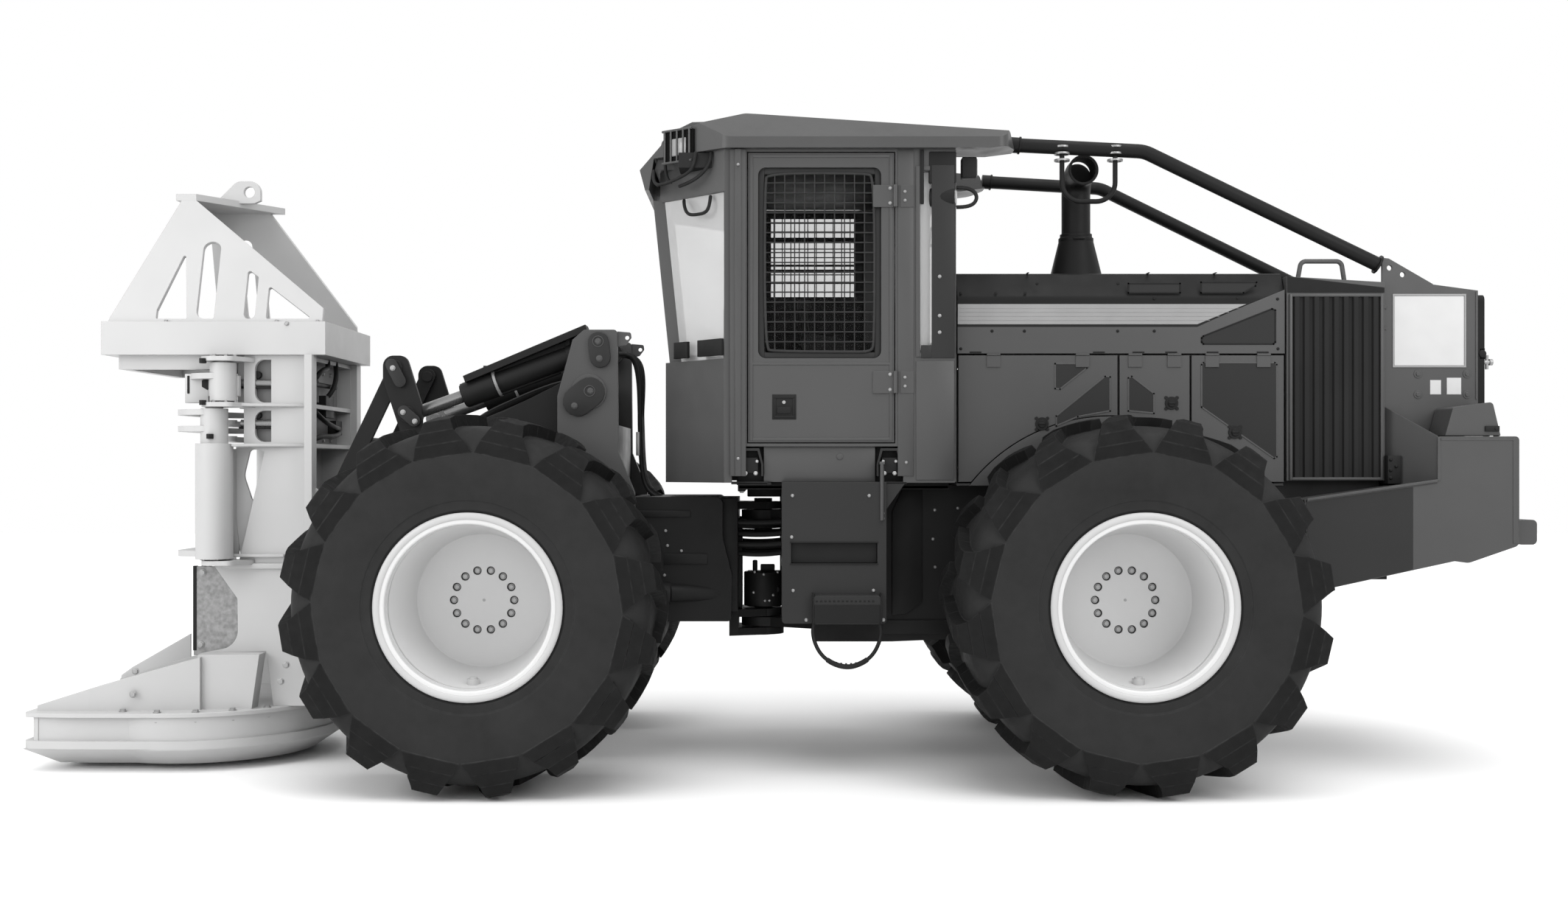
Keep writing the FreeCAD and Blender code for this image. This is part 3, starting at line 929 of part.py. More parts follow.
weight = plate("counterweight_block", "XZ_Plane", "sizes.counterweight_half * 2", -d.counterweight_half, [
    [(-2680, 1410), (-3162, 1480), (-3354, 1508), (-3354, 1732, 12), (-3767, 1732, 20), (-3767, 1179, 30),
     (-3510, 1090, 60), (-3440, 1100, 40), (-2830, 967), (-2700, 1080)]])
weight_slot = block("counterweight_slot", (-3256, -d.frame_half - 2, 900),
                    (-2600, d.frame_half + 2, d.frame_top + 40))
cheek_plan = plate("cheek_plan", "XY_Plane", 420, 1490,
                   [[(-3390, 606), (-3390, 842), (-3354, 842), (-3170, 606)]])
cheek_side = plate("cheek_side", "XZ_Plane", 260, 600, [
    [(-3390, 1490), (-3390, 1706), (-3175, 1890), (-3150, 1890), (-3150, 1490)]])
cheek = common("cheek", [cheek_plan, cheek_side])
keep("counterweight", cut("counterweight", join("weight_block", [weight] + both_sides(cheek)),
                          [weight_slot]))
lid_body = plate("tank_lid_body", "XZ_Plane", 220, d.rear_box_half + 12, [
    [(-3400, 1737), (-3440, 1880, 20), (-3640, 1907, 20), (-3680, 1737)]])
lid_hinges = [cross_pin("lid_hinge_%d" % low, 4.5, -3682, 1737, low, low + 60) for low in (630, 750)]
keep("tank_lid", join("tank_lid", [lid_body] + lid_hinges))
keep("rear_bumper", plate("rear_bumper", "XZ_Plane", 1600, -800, [
    [(-3767.5, 1190), (-3767.5, 1300), (-3800, 1308, 10), (d.bumper_rear_x, 1308, 24),
     (d.bumper_rear_x, 1181, 24),
     (-3800, 1181, 10)]]))

# ---- exhaust, brush guard, steps ---------------------------------------------------------------

exhaust_pipe = pipe("exhaust_pipe", [(d.exhaust_x, d.exhaust_y, 2780),
                                     (d.exhaust_x, d.exhaust_y, 3150, 110),
                                     (d.exhaust_x, d.exhaust_y + 220, 3150)], 77)
exhaust_cone = turned("exhaust_cone", "Z", [(0, d.hood_top + 1), (144, d.hood_top + 1), (95, 2790, 20),
                                            (88, 2820), (0, 2820)], (d.exhaust_x, d.exhaust_y, 0))
exhaust_bore = rod("exhaust_bore", 70, (d.exhaust_x, d.exhaust_y + 40, 3150),
                   (d.exhaust_x, d.exhaust_y + 230, 3150))
keep("exhaust_stack", cut("exhaust_stack", join("exhaust_body", [exhaust_pipe, exhaust_cone]),
                          [exhaust_bore]))

guard_route = [(-1262, 560, 3262), (-1930, 575, 3226, 160), (-3146, 591, 2633)]
guard_tube = pipe("guard_tube", guard_route, d.guard_tube_radius)
loop_guard = pipe("exhaust_loop", [
    (-1500, 575, 3230), (-1500, 575, 2965, 100), (-1778, 575, 2965, 100), (-1778, 575, 3220)], 13)
keep("brush_guard", group("brush_guard", [join("brush_guard_left", [guard_tube, loop_guard]),
                                          mirrored(guard_tube)]))

step_shell = plate("step_shell", "XZ_Plane", 330, 470, [
    [(-566, 779, 20), (-33, 779, 20), (-33, 1500), (-566, 1500)]])
step_recess = block("step_recess", (-520, 660, 1085), (-80, 830, 1190))
lower_step = plate("lower_step", "XZ_Plane", 70, 775, [
    [(-535, 780, 16), (-193, 780, 16), (-193, 925, 16), (-535, 925, 16)]])
left_box = join("left_side_box", [cut("step_box_body", step_shell, [step_recess]), lower_step])
right_box = plate("right_side_box", "XZ_Plane", 330, -800, [
    [(-566, 779, 20), (-33, 779, 20), (-33, 1500), (-566, 1500)]])
keep("side_boxes", group("side_boxes", [left_box, right_box]))

CABLE_RADIUS = 10
CABLE_POINTS = [(-204, 815), (-188, 760), (-196, 690), (-232, 620), (-295, 574), (-370, 556),
                (-440, 577), (-497, 620), (-532, 690), (-541, 760), (-524, 815)]


def cable_route():
    """Each bend is as large as its two runs allow."""
    points = [Vector(x, 812, z) for x, z in CABLE_POINTS]
    route = [tuple(points[0])]
    for i in range(1, len(points) - 1):
        before, after = points[i - 1] - points[i], points[i + 1] - points[i]
        turn = math.pi - before.getAngle(after)
        bend = 0.45 * min(before.Length, after.Length) / math.tan(turn / 2)
        route.append(tuple(points[i]) + (bend,))
    return route + [tuple(points[-1])]


cable = pipe("cable_step", cable_route(), CABLE_RADIUS)
keep("cable_step", cable)

# ---- check and write ---------------------------------------------------------------------------

doc.recompute()
faults = ["%s %s" % (o.Name, o.State) for o in doc.Objects if "Invalid" in o.State or "Error" in o.State]
for name, item in nodes.items():
    if item.Shape.isNull() or not item.Shape.isValid() or item.Shape.Volume < 1:
        faults.append("bad shape " + name)
if faults:
    raise RuntimeError("\n".join(faults))
os.makedirs("parts", exist_ok=True)
for name, item in nodes.items():
    item.Shape.exportStep("parts/%s.step" % name)
print(len(nodes), "nodes written")
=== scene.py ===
"""Looks of a wheeled feller buncher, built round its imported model."""

import json
import math

import bmesh
import bpy
from bpy.props import FloatProperty, FloatVectorProperty, IntProperty, PointerProperty
from mathutils import Matrix, Vector

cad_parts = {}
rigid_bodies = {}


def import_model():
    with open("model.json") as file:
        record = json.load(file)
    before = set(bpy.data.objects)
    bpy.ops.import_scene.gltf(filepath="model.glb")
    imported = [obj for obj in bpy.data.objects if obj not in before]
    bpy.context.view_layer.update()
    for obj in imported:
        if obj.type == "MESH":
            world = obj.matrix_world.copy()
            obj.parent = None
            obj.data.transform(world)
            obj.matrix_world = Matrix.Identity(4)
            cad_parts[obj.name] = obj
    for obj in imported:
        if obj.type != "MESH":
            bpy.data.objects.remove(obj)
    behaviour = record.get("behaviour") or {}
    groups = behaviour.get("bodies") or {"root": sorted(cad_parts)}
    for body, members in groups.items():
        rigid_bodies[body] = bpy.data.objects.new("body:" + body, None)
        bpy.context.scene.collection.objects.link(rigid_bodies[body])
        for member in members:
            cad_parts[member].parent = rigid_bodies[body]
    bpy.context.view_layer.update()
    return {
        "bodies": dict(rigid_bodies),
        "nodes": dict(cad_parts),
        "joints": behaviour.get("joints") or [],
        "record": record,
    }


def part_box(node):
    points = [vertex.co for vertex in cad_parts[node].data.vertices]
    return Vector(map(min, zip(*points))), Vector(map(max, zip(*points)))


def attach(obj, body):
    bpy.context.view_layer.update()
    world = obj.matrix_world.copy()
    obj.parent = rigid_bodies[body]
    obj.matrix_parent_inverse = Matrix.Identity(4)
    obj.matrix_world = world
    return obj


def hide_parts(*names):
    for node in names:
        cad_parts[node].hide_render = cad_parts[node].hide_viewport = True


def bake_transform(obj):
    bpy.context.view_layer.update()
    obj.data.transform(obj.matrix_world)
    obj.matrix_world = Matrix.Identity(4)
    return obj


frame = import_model()
NODES = frame["nodes"]

bl_info = {
    "name": "Feller Buncher Looks",
    "version": (1, 0, 0),
    "blender": (4, 5, 0),
    "location": "3D View > Sidebar > Feller",
    "description": "Builds the finishes, trim, tyres and hoses of a wheeled feller buncher",
    "category": "Object",
}


# ---- settings ----------------------------------------------------------------------------------

def shade_property(name, description, value):
    return FloatVectorProperty(name=name, description=description, subtype="COLOR", size=3, min=0.0, max=1.0,
                               default=(value, value, value))


def length_property(name, description, value):
    return FloatProperty(name=name, description=description, unit="LENGTH", default=value, min=0.0)


class FELLER_PG_finishes(bpy.types.PropertyGroup):
    """Colours of the painted and bare surfaces."""
    body: shade_property("Body paint", "Cab, engine doors, tank and covers", 0.048)
    hood: shade_property("Hood paint", "Upper hood and brush guard", 0.0085)
    chassis: shade_property("Chassis paint", "Frames, boom and linkage", 0.012)
    head: shade_property("Head paint", "Felling head", 0.41)
    rim: shade_property("Rim paint", "Wheel rims", 0.54)
    rubber: shade_property("Rubber", "Tyres", 0.0135)
    stripe: shade_property("Stripe", "Pale stripe along the hood", 0.235)
    steel: shade_property("Bare steel", "Unpainted knee plates", 0.24)


class FELLER_PG_tyres(bpy.types.PropertyGroup):
    """Tread and casing of the forestry tyres."""
    lug_count: IntProperty(name="Lugs per side", description="Lugs round each half of the tread", default=16, min=8)
    bolt_size: length_property("Wheel bolt size", "Half the width of a wheel bolt's head", 0.012)


class FELLER_PG_stage(bpy.types.PropertyGroup):
    """Camera and studio."""
    lens: FloatProperty(name="Lens", description="Focal length in millimetres", default=37.86)
    distance: length_property("Camera distance", "From the machine's middle plane to the camera", 9.2)
    height: length_property("Camera height", "Above the floor", 1.575)
    floor_size: length_property("Floor size", "Side of the floor plane", 60.0)


class FELLER_PG_settings(bpy.types.PropertyGroup):
    """All the settings of the feller buncher."""
    finishes: PointerProperty(type=FELLER_PG_finishes)
    tyres: PointerProperty(type=FELLER_PG_tyres)
    stage: PointerProperty(type=FELLER_PG_stage)


# ---- materials ---------------------------------------------------------------------------------

def feed(tree, node, inputs):
    """Set a node's inputs, each from a value or from another node's output."""
    for slot, source in inputs.items():
        if isinstance(source, bpy.types.NodeSocket):
            tree.links.new(source, node.inputs[slot])
        else:
            node.inputs[slot].default_value = source


def add_node(tree, kind, inputs=None, **settings):
    """Add a shader node with its settings and inputs."""
    node = tree.nodes.new("ShaderNode" + kind)
    for name, value in settings.items():
        setattr(node, name, value)
    feed(tree, node, inputs or {})
    return node


def noise_node(tree, scale, detail=3.0, stretch=(1, 1, 1)):
    """Noise on Object coordinates, stretched along the machine's axes."""
    place = add_node(tree, "TexCoord").outputs["Object"]
    mapping = add_node(tree, "Mapping", {"Scale": stretch, "Vector": place})
    return add_node(tree, "TexNoise", {"Scale": scale, "Detail": detail,
                                       "Vector": mapping.outputs["Vector"]}).outputs["Fac"]


def spread(tree, source, low, high, low_in=0.3, high_in=0.7):
    """Remap a value to a range."""
    return add_node(tree, "MapRange", {"From Min": low_in, "From Max": high_in, "To Min": low, "To Max": high,
                                       "Value": source}).outputs["Result"]


def tone(tree, source, dark, light, low=0.3, high=0.7):
    """A colour that runs from dark to light with a value."""
    ramp = add_node(tree, "ValToRGB", {"Fac": source})
    for stop, position, colour in zip(ramp.color_ramp.elements, (low, high), (dark, light)):
        stop.position, stop.color = position, (*colour, 1)
    return ramp.outputs["Color"]


def shader(name):
    material = bpy.data.materials.new(name)
    material.use_nodes = True
    return material, material.node_tree, material.node_tree.nodes["Principled BSDF"]


def edge_mask(tree, rounded):
    """One where a surface turns over an edge, and nothing on its flats."""
    flat = add_node(tree, "NewGeometry").outputs["Normal"]
    dot = add_node(tree, "VectorMath", {0: flat, 1: rounded}, operation="DOT_PRODUCT")
    return spread(tree, dot.outputs["Value"], 1.0, 0.0, 0.93, 0.995)


def finish_surface(name, colour, variation=0.06, roughness=(0.38, 0.52), metallic=0.0, coat=0.0, grain=220.0,
                   relief=0.05, patch=2.2, stretch=(1, 1, 1), relief_depth=0.0004, edge=0.004, wear=0.0,
                   specular=0.5):
    """A finish with patchy tone, uneven gloss, rounded worn edges and a fine surface grain."""
    material, tree, bsdf = shader(name)
    paint = tone(tree, noise_node(tree, patch, 5.0), [c * (1 - variation) for c in colour],
                 [min(1.0, c * (1 + variation)) for c in colour])
    rounded = add_node(tree, "Bevel", {"Radius": edge}, samples=4).outputs["Normal"]
    if wear:
        scuffs = spread(tree, noise_node(tree, 30.0, 4.0), 0.0, wear)
        worn = add_node(tree, "Math", {0: edge_mask(tree, rounded), 1: scuffs}, operation="MULTIPLY")
        rub = add_node(tree, "Mix", data_type="RGBA")
        feed(tree, rub, {"B": (*[min(1.0, c * 1.8 + 0.04) for c in colour], 1), "A": paint,
                         "Factor": worn.outputs["Value"]})
        paint = rub.outputs["Result"]
    smears = spread(tree, noise_node(tree, patch * 4, 4.0, stretch), *roughness)
    bump = add_node(tree, "Bump", {"Strength": relief, "Distance": relief_depth, "Normal": rounded,
                                   "Height": noise_node(tree, grain, 2.0, stretch)})
    feed(tree, bsdf, {"Base Color": paint, "Roughness": smears, "Normal": bump.outputs["Normal"],
                      "Metallic": metallic, "Specular IOR Level": specular, "Coat Weight": coat,
                      "Coat Roughness": 0.25})
    return material


# where the painted reflection on the front panes fades in along X
LIT_PANES_AHEAD = (0.2, 0.24)
QUARTER_PANE_X, QUARTER_PANE_REACH = -0.81, 0.07


def make_glass(name):
    """Window glass: a dark tint; paler, more opaque and glossier on the front panes, as a painted reflection of the
    bright studio, and on the rear quarter panes, as painted light for the bright background seen through the cab.
    """
    material, tree, bsdf = shader(name)
    place = add_node(tree, "TexCoord").outputs["Object"]
    x = add_node(tree, "SeparateXYZ", {"Vector": place}).outputs["X"]
    ahead = spread(tree, x, 0.0, 1.0, *LIT_PANES_AHEAD)
    quarter = add_node(tree, "Math", {0: x, 1: QUARTER_PANE_X, 2: QUARTER_PANE_REACH}, operation="COMPARE")
    painted_light = add_node(tree, "Math", {0: ahead, 1: quarter.outputs["Value"]}, operation="MAXIMUM").outputs["Value"]
    feed(tree, bsdf, {"Roughness": spread(tree, noise_node(tree, 3.0, 3.0), 0.03, 0.1),
                      "Base Color": tone(tree, painted_light, (0.01, 0.01, 0.01), (0.72, 0.72, 0.72)),
                      "Alpha": spread(tree, painted_light, 0.12, 0.42),
                      "Specular IOR Level": spread(tree, painted_light, 0.12, 0.4)})
    return material


def make_perforated(name):
    """A dark sheet with rows of near-black holes, painted shade for the shaded bay seen through the mesh."""
    material, tree, bsdf = shader(name)
    place = add_node(tree, "TexCoord").outputs["Object"]
    cells = add_node(tree, "TexVoronoi", {"Scale": 60.0, "Randomness": 0.0, "Vector": place})
    hole = spread(tree, cells.outputs["Distance"], 0.0, 1.0, 0.28, 0.36)
    feed(tree, bsdf, {"Base Color": tone(tree, hole, (0.003, 0.003, 0.003), (0.026, 0.026, 0.026)),
                      "Roughness": 0.6, "Specular IOR Level": 0.1})
    return material


MATERIALS = {}


def build_materials(finishes):
    body, hood, chassis = tuple(finishes.body), tuple(finishes.hood), tuple(finishes.chassis)
    head, rim, rubber = tuple(finishes.head), tuple(finishes.rim), tuple(finishes.rubber)
    MATERIALS.update({
        "body": finish_surface("body_paint", body, coat=0.1, wear=0.5, specular=0.35),
        # painted shade: a darker copy of the body paint, for body-coloured parts that sit in shade
        "shaded": finish_surface("shaded_body_paint", tuple(c * 0.42 for c in body), wear=0.5, specular=0.2),
        "hood": finish_surface("hood_paint", hood, roughness=(0.4, 0.55), wear=0.4, specular=0.14),
        "chassis": finish_surface("chassis_paint", chassis, 0.15, (0.45, 0.6), wear=0.6, specular=0.14),
        "head": finish_surface("head_paint", head, 0.03, (0.4, 0.55), coat=0.1),
        # painted shade: a darker copy of the head paint, for pockets, recesses and the saw housing's end blocks
        "head_shaded": finish_surface("head_paint_shaded", tuple(c * 0.38 for c in head), 0.05, (0.5, 0.6)),
        "rim": finish_surface("rim_paint", rim, 0.035, (0.35, 0.5), coat=0.15),
        # painted shade: a darker copy of the rim paint for the beads, so they catch less light
        "rim_shaded": finish_surface("rim_bead_shaded_paint", tuple(c * 0.75 for c in rim), 0.035, (0.35, 0.5), coat=0.1),
        "rubber": finish_surface("tyre_rubber", rubber, 0.14, (0.6, 0.78), grain=110, relief=0.2, patch=5, edge=0.007,
                                 wear=0.3, specular=0.2),
        "tread": finish_surface("tread_rubber", tuple(c * 0.45 for c in rubber), 0.2, (0.6, 0.8), grain=90,
                                relief=0.25, patch=7, edge=0.006, wear=0.4, specular=0.14),
        "hose": finish_surface("hose_rubber", (0.01,) * 3, 0.1, (0.45, 0.6), grain=160, relief=0.1, specular=0.25),
        "black": finish_surface("black_plastic", (0.009,) * 3, 0.1, (0.5, 0.65), specular=0.2),
        "stripe": finish_surface("stripe_film", tuple(finishes.stripe), 0.05, (0.3, 0.4), patch=6),
        "steel": finish_surface("bare_steel", tuple(finishes.steel), 0.25, (0.5, 0.7), 0.3, grain=120, relief=0.5,
                                patch=45),
        # painted shade: body paint darkened for the shade inside grilles, bolt recesses and grooves
        "deep_shade": finish_surface("deep_shade_paint", tuple(c * 0.3 for c in body), 0.12, (0.5, 0.65), specular=0.12),
        "zinc": finish_surface("zinc_hardware", (0.3,) * 3, 0.1, (0.3, 0.45), 0.6),
        "chrome": finish_surface("rod_chrome", (0.2,) * 3, 0.05, (0.2, 0.3), 0.7, relief=0.0),
        "cloth": finish_surface("seat_cloth", (0.016,) * 3, 0.2, (0.85, 0.95), grain=700, relief=0.5, patch=12,
                                specular=0.2),
        # painted shade: near black, for the shade in deep openings such as lamp recesses
        "dark": finish_surface("dark_opening", (0.004,) * 3, 0.1, (0.8, 0.9), specular=0.1),
        "mesh": make_perforated("perforated_sheet"),
        "glass": make_glass("window_glass"),
        # painted light: a lighter copy of the body paint for the cab's front wall, which the tyre and tower leave in
        # shade
        "nose": finish_surface("nose_lit_paint", tuple(c * 1.35 for c in body), coat=0.1, wear=0.5, specular=0.35),
        "lamp": finish_surface("lamp_lens", (0.24,) * 3, 0.05, (0.1, 0.2), coat=0.4),
        "chrome_bolt": finish_surface("plated_bolt", (0.42,) * 3, 0.08, (0.25, 0.4), 0.4),
        "label": finish_surface("blank_label", (0.5,) * 3, 0.03, (0.4, 0.5), patch=8),
    })


CAD_FINISHES = {
    # painted light: the cab's front wall takes the lighter copy of the body paint
    "nose": ("cab_front_wall",),
    "body": ("cab_side_walls", "cab_rear_wall", "cab_roof", "cab_door", "engine_bay_panels",
             "cooler_housing", "rear_box", "counterweight", "tank_lid", "rear_bumper", "boom_tower"),
    # painted shade: the side boxes between the tyres take the shaded copy of the body paint
    "shaded": ("side_boxes",),
    "hood": ("hood", "brush_guard", "exhaust_stack", "rear_door"),
    "chassis": ("rear_frame", "front_frame", "boom", "bellcrank", "tilt_link", "tilt_barrels",
                "lift_barrels", "rear_axle", "front_axle", "cab_floor"),
    "chrome": ("tilt_rods", "lift_rods"),
    "zinc": ("saw_disc", "engine_block", "tilt_pistons"),
    "steel": ("knee_plates",),
    "head": ("head_column", "head_deck", "head_tower", "saw_housing", "harvest_arm_left", "harvest_arm_right",
             "accumulator_arm_left", "accumulator_arm_right"),
    "glass": ("cab_glass", "door_glass"),
    "cloth": ("seat_cushions",),
    "black": ("seat_base_and_consoles",),
    "hose": ("cable_step",),
}


def finish_of(node):
    for finish, nodes in CAD_FINISHES.items():
        if node in nodes:
            return finish
    if node.endswith("_tyre"):
        return "rubber"
    if node.endswith("_rim"):
        return "rim"
    return "body"


class FELLER_OT_finishes(bpy.types.Operator):
    """Give every carried-over part its finish"""
    bl_idname = "feller.finishes"
    bl_label = "Finishes"

    def execute(self, context):
        build_materials(context.scene.feller.finishes)
        for node, part in NODES.items():
            part.data.materials.clear()
            part.data.materials.append(MATERIALS[finish_of(node)])
        return {"FINISHED"}


REAR, FRONT = "rear_chassis", "front_chassis"


# ---- shapes ------------------------------------------------------------------------------------

def block(bm, *corners):
    """Boxes, each between a pair of opposite corners."""
    for one, other in zip(corners[::2], corners[1::2]):
        low, high = Vector([min(pair) for pair in zip(one, other)]), Vector([max(pair) for pair in zip(one, other)])
        bmesh.ops.create_cube(bm, size=1.0, matrix=Matrix.LocRotScale((low + high) / 2, None, high - low))


def bar(bm, start, end, radius, sides=20, tip=None):
    """A round bar from one point to another, tapered when tip is given."""
    start, end = Vector(start), Vector(end)
    line = end - start
    where = Matrix.LocRotScale((start + end) / 2, line.to_track_quat("Z", "Y"), None)
    bmesh.ops.create_cone(bm, cap_ends=True, segments=sides, radius1=radius,
                          radius2=radius if tip is None else tip, depth=line.length, matrix=where)


def pin(bm, start, axis, end, radius, sides=20, tip=None):
    """A round bar along one axis, up to the coordinate end."""
    finish = list(start)
    finish["XYZ".index(axis)] = end
    bar(bm, start, finish, radius, sides, tip)


def slab(bm, corners, depth):
    """A flat plate: an outline of points, given its thickness by the vector depth."""
    face = bm.faces.new([bm.verts.new(corner) for corner in corners])
    walls = bmesh.ops.extrude_face_region(bm, geom=[face], use_keep_orig=True)["geom"]
    moved = [item for item in walls if isinstance(item, bmesh.types.BMVert)]
    bmesh.ops.translate(bm, vec=depth, verts=moved)


def side_plate(bm, outline, low, high):
    """A plate in the XZ plane from y = low to y = high."""
    slab(bm, [(x, low, z) for x, z in outline], (0, high - low, 0))


def turn(bm, profile, centre, axis="Y", steps=48):
    """Spin a closed profile of (radius, along) about an axis through the centre."""
    across = {"Y": lambda r, h: (0, h, r), "Z": lambda r, h: (r, 0, h), "X": lambda r, h: (h, 0, r)}[axis]
    spine = {"X": (1, 0, 0), "Y": (0, 1, 0), "Z": (0, 0, 1)}[axis]
    centre = Vector(centre)
    verts = [bm.verts.new(centre + Vector(across(r, h))) for r, h in profile]
    edges = [bm.edges.new((verts[i - 1], verts[i])) for i in range(len(verts))]
    bmesh.ops.spin(bm, geom=verts + edges, cent=centre, axis=spine, angle=2 * math.pi, steps=steps, use_merge=True)


def bolts(bm, places, direction, size=0.011, height=0.009):
    """Hexagon heads on washers."""
    direction = Vector(direction)
    for place in places:
        place = Vector(place)
        bar(bm, place, place + direction * height * 0.3, size * 1.35, 14)
        bar(bm, place, place + direction * height, size, 6)


def piece(bm, name, body, finish, bevel=0.0, smooth=35, mirror=False):
    """Turn the geometry into an object that rides on a body, and empty bm for the next one.

    mirror adds the same on the other side.
    """
    if mirror:
        bmesh.ops.mirror(bm, geom=bm.verts[:] + bm.edges[:] + bm.faces[:], axis="Y", merge_dist=-1.0)
    bmesh.ops.recalc_face_normals(bm, faces=bm.faces[:])
    if bevel:
        sharp = [e for e in bm.edges if len(e.link_faces) == 2 and e.calc_face_angle(0) > 0.6]
        bmesh.ops.bevel(bm, geom=sharp, offset=bevel, segments=2, profile=0.5, affect="EDGES", material=-1,
                        clamp_overlap=True)
    mesh = bpy.data.meshes.new(name)
    bm.to_mesh(mesh)
    bm.clear()
    mesh.shade_smooth()
    mesh.set_sharp_from_angle(angle=math.radians(smooth))
    return mount(name, mesh, body, finish)


def boxes(name, body, finish, *corners, **options):
    """A piece made of boxes alone."""
    bm = bmesh.new()
    block(bm, *corners)
    piece(bm, name, body, finish, **options)


def mount(name, mesh, body, finish):
    """Link a mesh as an object with its finish, riding on a body."""
    made = bpy.data.objects.new(name, mesh)
    mesh.materials.append(MATERIALS[finish])
    bpy.context.scene.collection.objects.link(made)
    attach(made, body)
    return made


def strand(points, radius, order=4, resolution=8):
    """A round strand along one smooth curve, as a mesh."""
    curve = bpy.data.curves.new("strand", "CURVE")
    curve.dimensions = "3D"
    curve.bevel_depth = radius
    curve.bevel_resolution = 3
    curve.use_fill_caps = True
    spline = curve.splines.new("NURBS")
    spline.points.add(len(points) - 1)
    for control, point in zip(spline.points, points):
        control.co = (*point, 1)
    spline.order_u = min(order, len(points))
    spline.use_endpoint_u = True
    spline.resolution_u = resolution
    holder = bpy.data.objects.new("strand", curve)
    mesh = bpy.data.meshes.new_from_object(holder)
    bpy.data.objects.remove(holder)
    bpy.data.curves.remove(curve)
    return mesh


def add_strand(bm, points, radius, order=4, resolution=8):
    """Add one strand to the geometry being built."""
    mesh = strand(points, radius, order, resolution)
    bm.from_mesh(mesh)
    bpy.data.meshes.remove(mesh)


def hoses(name, body, routes, radius, finish="hose", mirror=False):
    """Hoses or bent rods of one size, as one piece."""
    bm = bmesh.new()
    for route in routes:
        add_strand(bm, route, radius)
    return piece(bm, name, body, finish, mirror=mirror)


# ---- wheels ------------------------------------------------------------------------------------

WHEELS = (("front_left", 1), ("front_right", -1), ("rear_left", 1), ("rear_right", -1))
HALF_PROFILE = ((0.409, 0.0), (0.409, 0.336), (0.447, 0.337), (0.462, 0.349), (0.5, 0.352), (0.507, 0.358),
                (0.56, 0.367), (0.62, 0.375), (0.68, 0.378), (0.72, 0.377), (0.76, 0.369), (0.8, 0.35),
                (0.83, 0.325), (0.847, 0.29), (0.856, 0.23), (0.86, 0.12), (0.861, 0.0))


def casing(bm, centre):
    whole = [(r, h) for r, h in HALF_PROFILE] + [(r, -h) for r, h in reversed(HALF_PROFILE[1:-1])]
    turn(bm, whole, centre, "Y", 120)


LUG_RUN = (
    # turn, then foot and top as (sideways, radius), then half-widths behind and ahead, then the feet's
    (0.0, (-0.04, 0.85), (-0.04, 0.912), 0.022, 0.022, 1.5, 1.5),
    (0.035, (0.06, 0.85), (0.06, 0.915), 0.027, 0.027, 1.5, 1.5),
    (0.082, (0.17, 0.845), (0.17, 0.915), 0.031, 0.033, 1.4, 1.6),
    (0.12, (0.265, 0.82), (0.27, 0.911), 0.036, 0.05, 1.3, 1.7),
    (0.142, (0.305, 0.78), (0.345, 0.895), 0.044, 0.08, 1.25, 1.5),
    (0.147, (0.325, 0.75), (0.374, 0.845), 0.06, 0.1, 1.2, 1.3),
    (0.15, (0.335, 0.73), (0.3815, 0.79), 0.1, 0.125, 1.1, 1.1),
    (0.15, (0.34, 0.7), (0.379, 0.735), 0.135, 0.142, 1.0, 1.0))


def lug_section(centre, side, start, station):
    """Four corners of a lug's cross-section, across its run."""
    turned, foot, top, behind, ahead, foot_behind, foot_ahead = station
    corners = []
    for (lateral, radius), reach in ((foot, ahead * foot_ahead), (top, ahead), (top, -behind),
                                     (foot, -behind * foot_behind)):
        angle = start + turned + reach / radius
        corners.append(centre + Vector((radius * math.sin(angle), side * lateral, radius * math.cos(angle))))
    return corners


def lug(bm, centre, side, start):
    """One lug from past the tread's middle, over the shoulder and down the sidewall."""
    corners = lug_section(centre, side, start, LUG_RUN[0])
    face = bm.faces.new([bm.verts.new(corner) for corner in corners])
    made = set(face.verts)
    for station in LUG_RUN[1:]:
        walls = bmesh.ops.extrude_face_region(bm, geom=[face])["geom"]
        face = next(item for item in walls if isinstance(item, bmesh.types.BMFace))
        onward = lug_section(centre, side, start, station)
        for vert in face.verts:
            vert.co = onward[min(range(4), key=lambda i: (corners[i] - vert.co).length)]
        made.update(face.verts)
        corners = onward
    return [vert for vert in made if vert.is_valid]


def wheel_centre(name):
    low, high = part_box(name + "_tyre")
    return (Vector(low) + Vector(high)) / 2


class FELLER_OT_tyres(bpy.types.Operator):
    """Build the four lugged tyres"""
    bl_idname = "feller.tyres"
    bl_label = "Tyres"

    def execute(self, context):
        tyres = context.scene.feller.tyres
        pitch = 2 * math.pi / tyres.lug_count
        bm = bmesh.new()
        for name, _ in WHEELS:
            centre = wheel_centre(name)
            for half in (1, -1):
                made = lug(bm, centre, half, pitch / 2 if half < 0 else 0.0)
                faces = {f for v in made for f in v.link_faces}
                edges = {e for v in made for e in v.link_edges}
                bmesh.ops.spin(bm, geom=made + list(edges) + list(faces), cent=centre, axis=(0, 1, 0),
                               angle=pitch * (tyres.lug_count - 1), steps=tyres.lug_count - 1, use_duplicate=True)
            bmesh.ops.recalc_face_normals(bm, faces=bm.faces[:])
            for face in bm.faces:
                face.material_index = 1
            casing(bm, centre)
            made = piece(bm, name + "_lugged_tyre", name + "_wheel", "rubber", smooth=28)
            made.data.materials.append(MATERIALS["tread"])
            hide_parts(name + "_tyre")
        return {"FINISHED"}


RIM_STEPS, WHEEL_BOLTS, BOLT_CIRCLE = 96, 14, 0.15


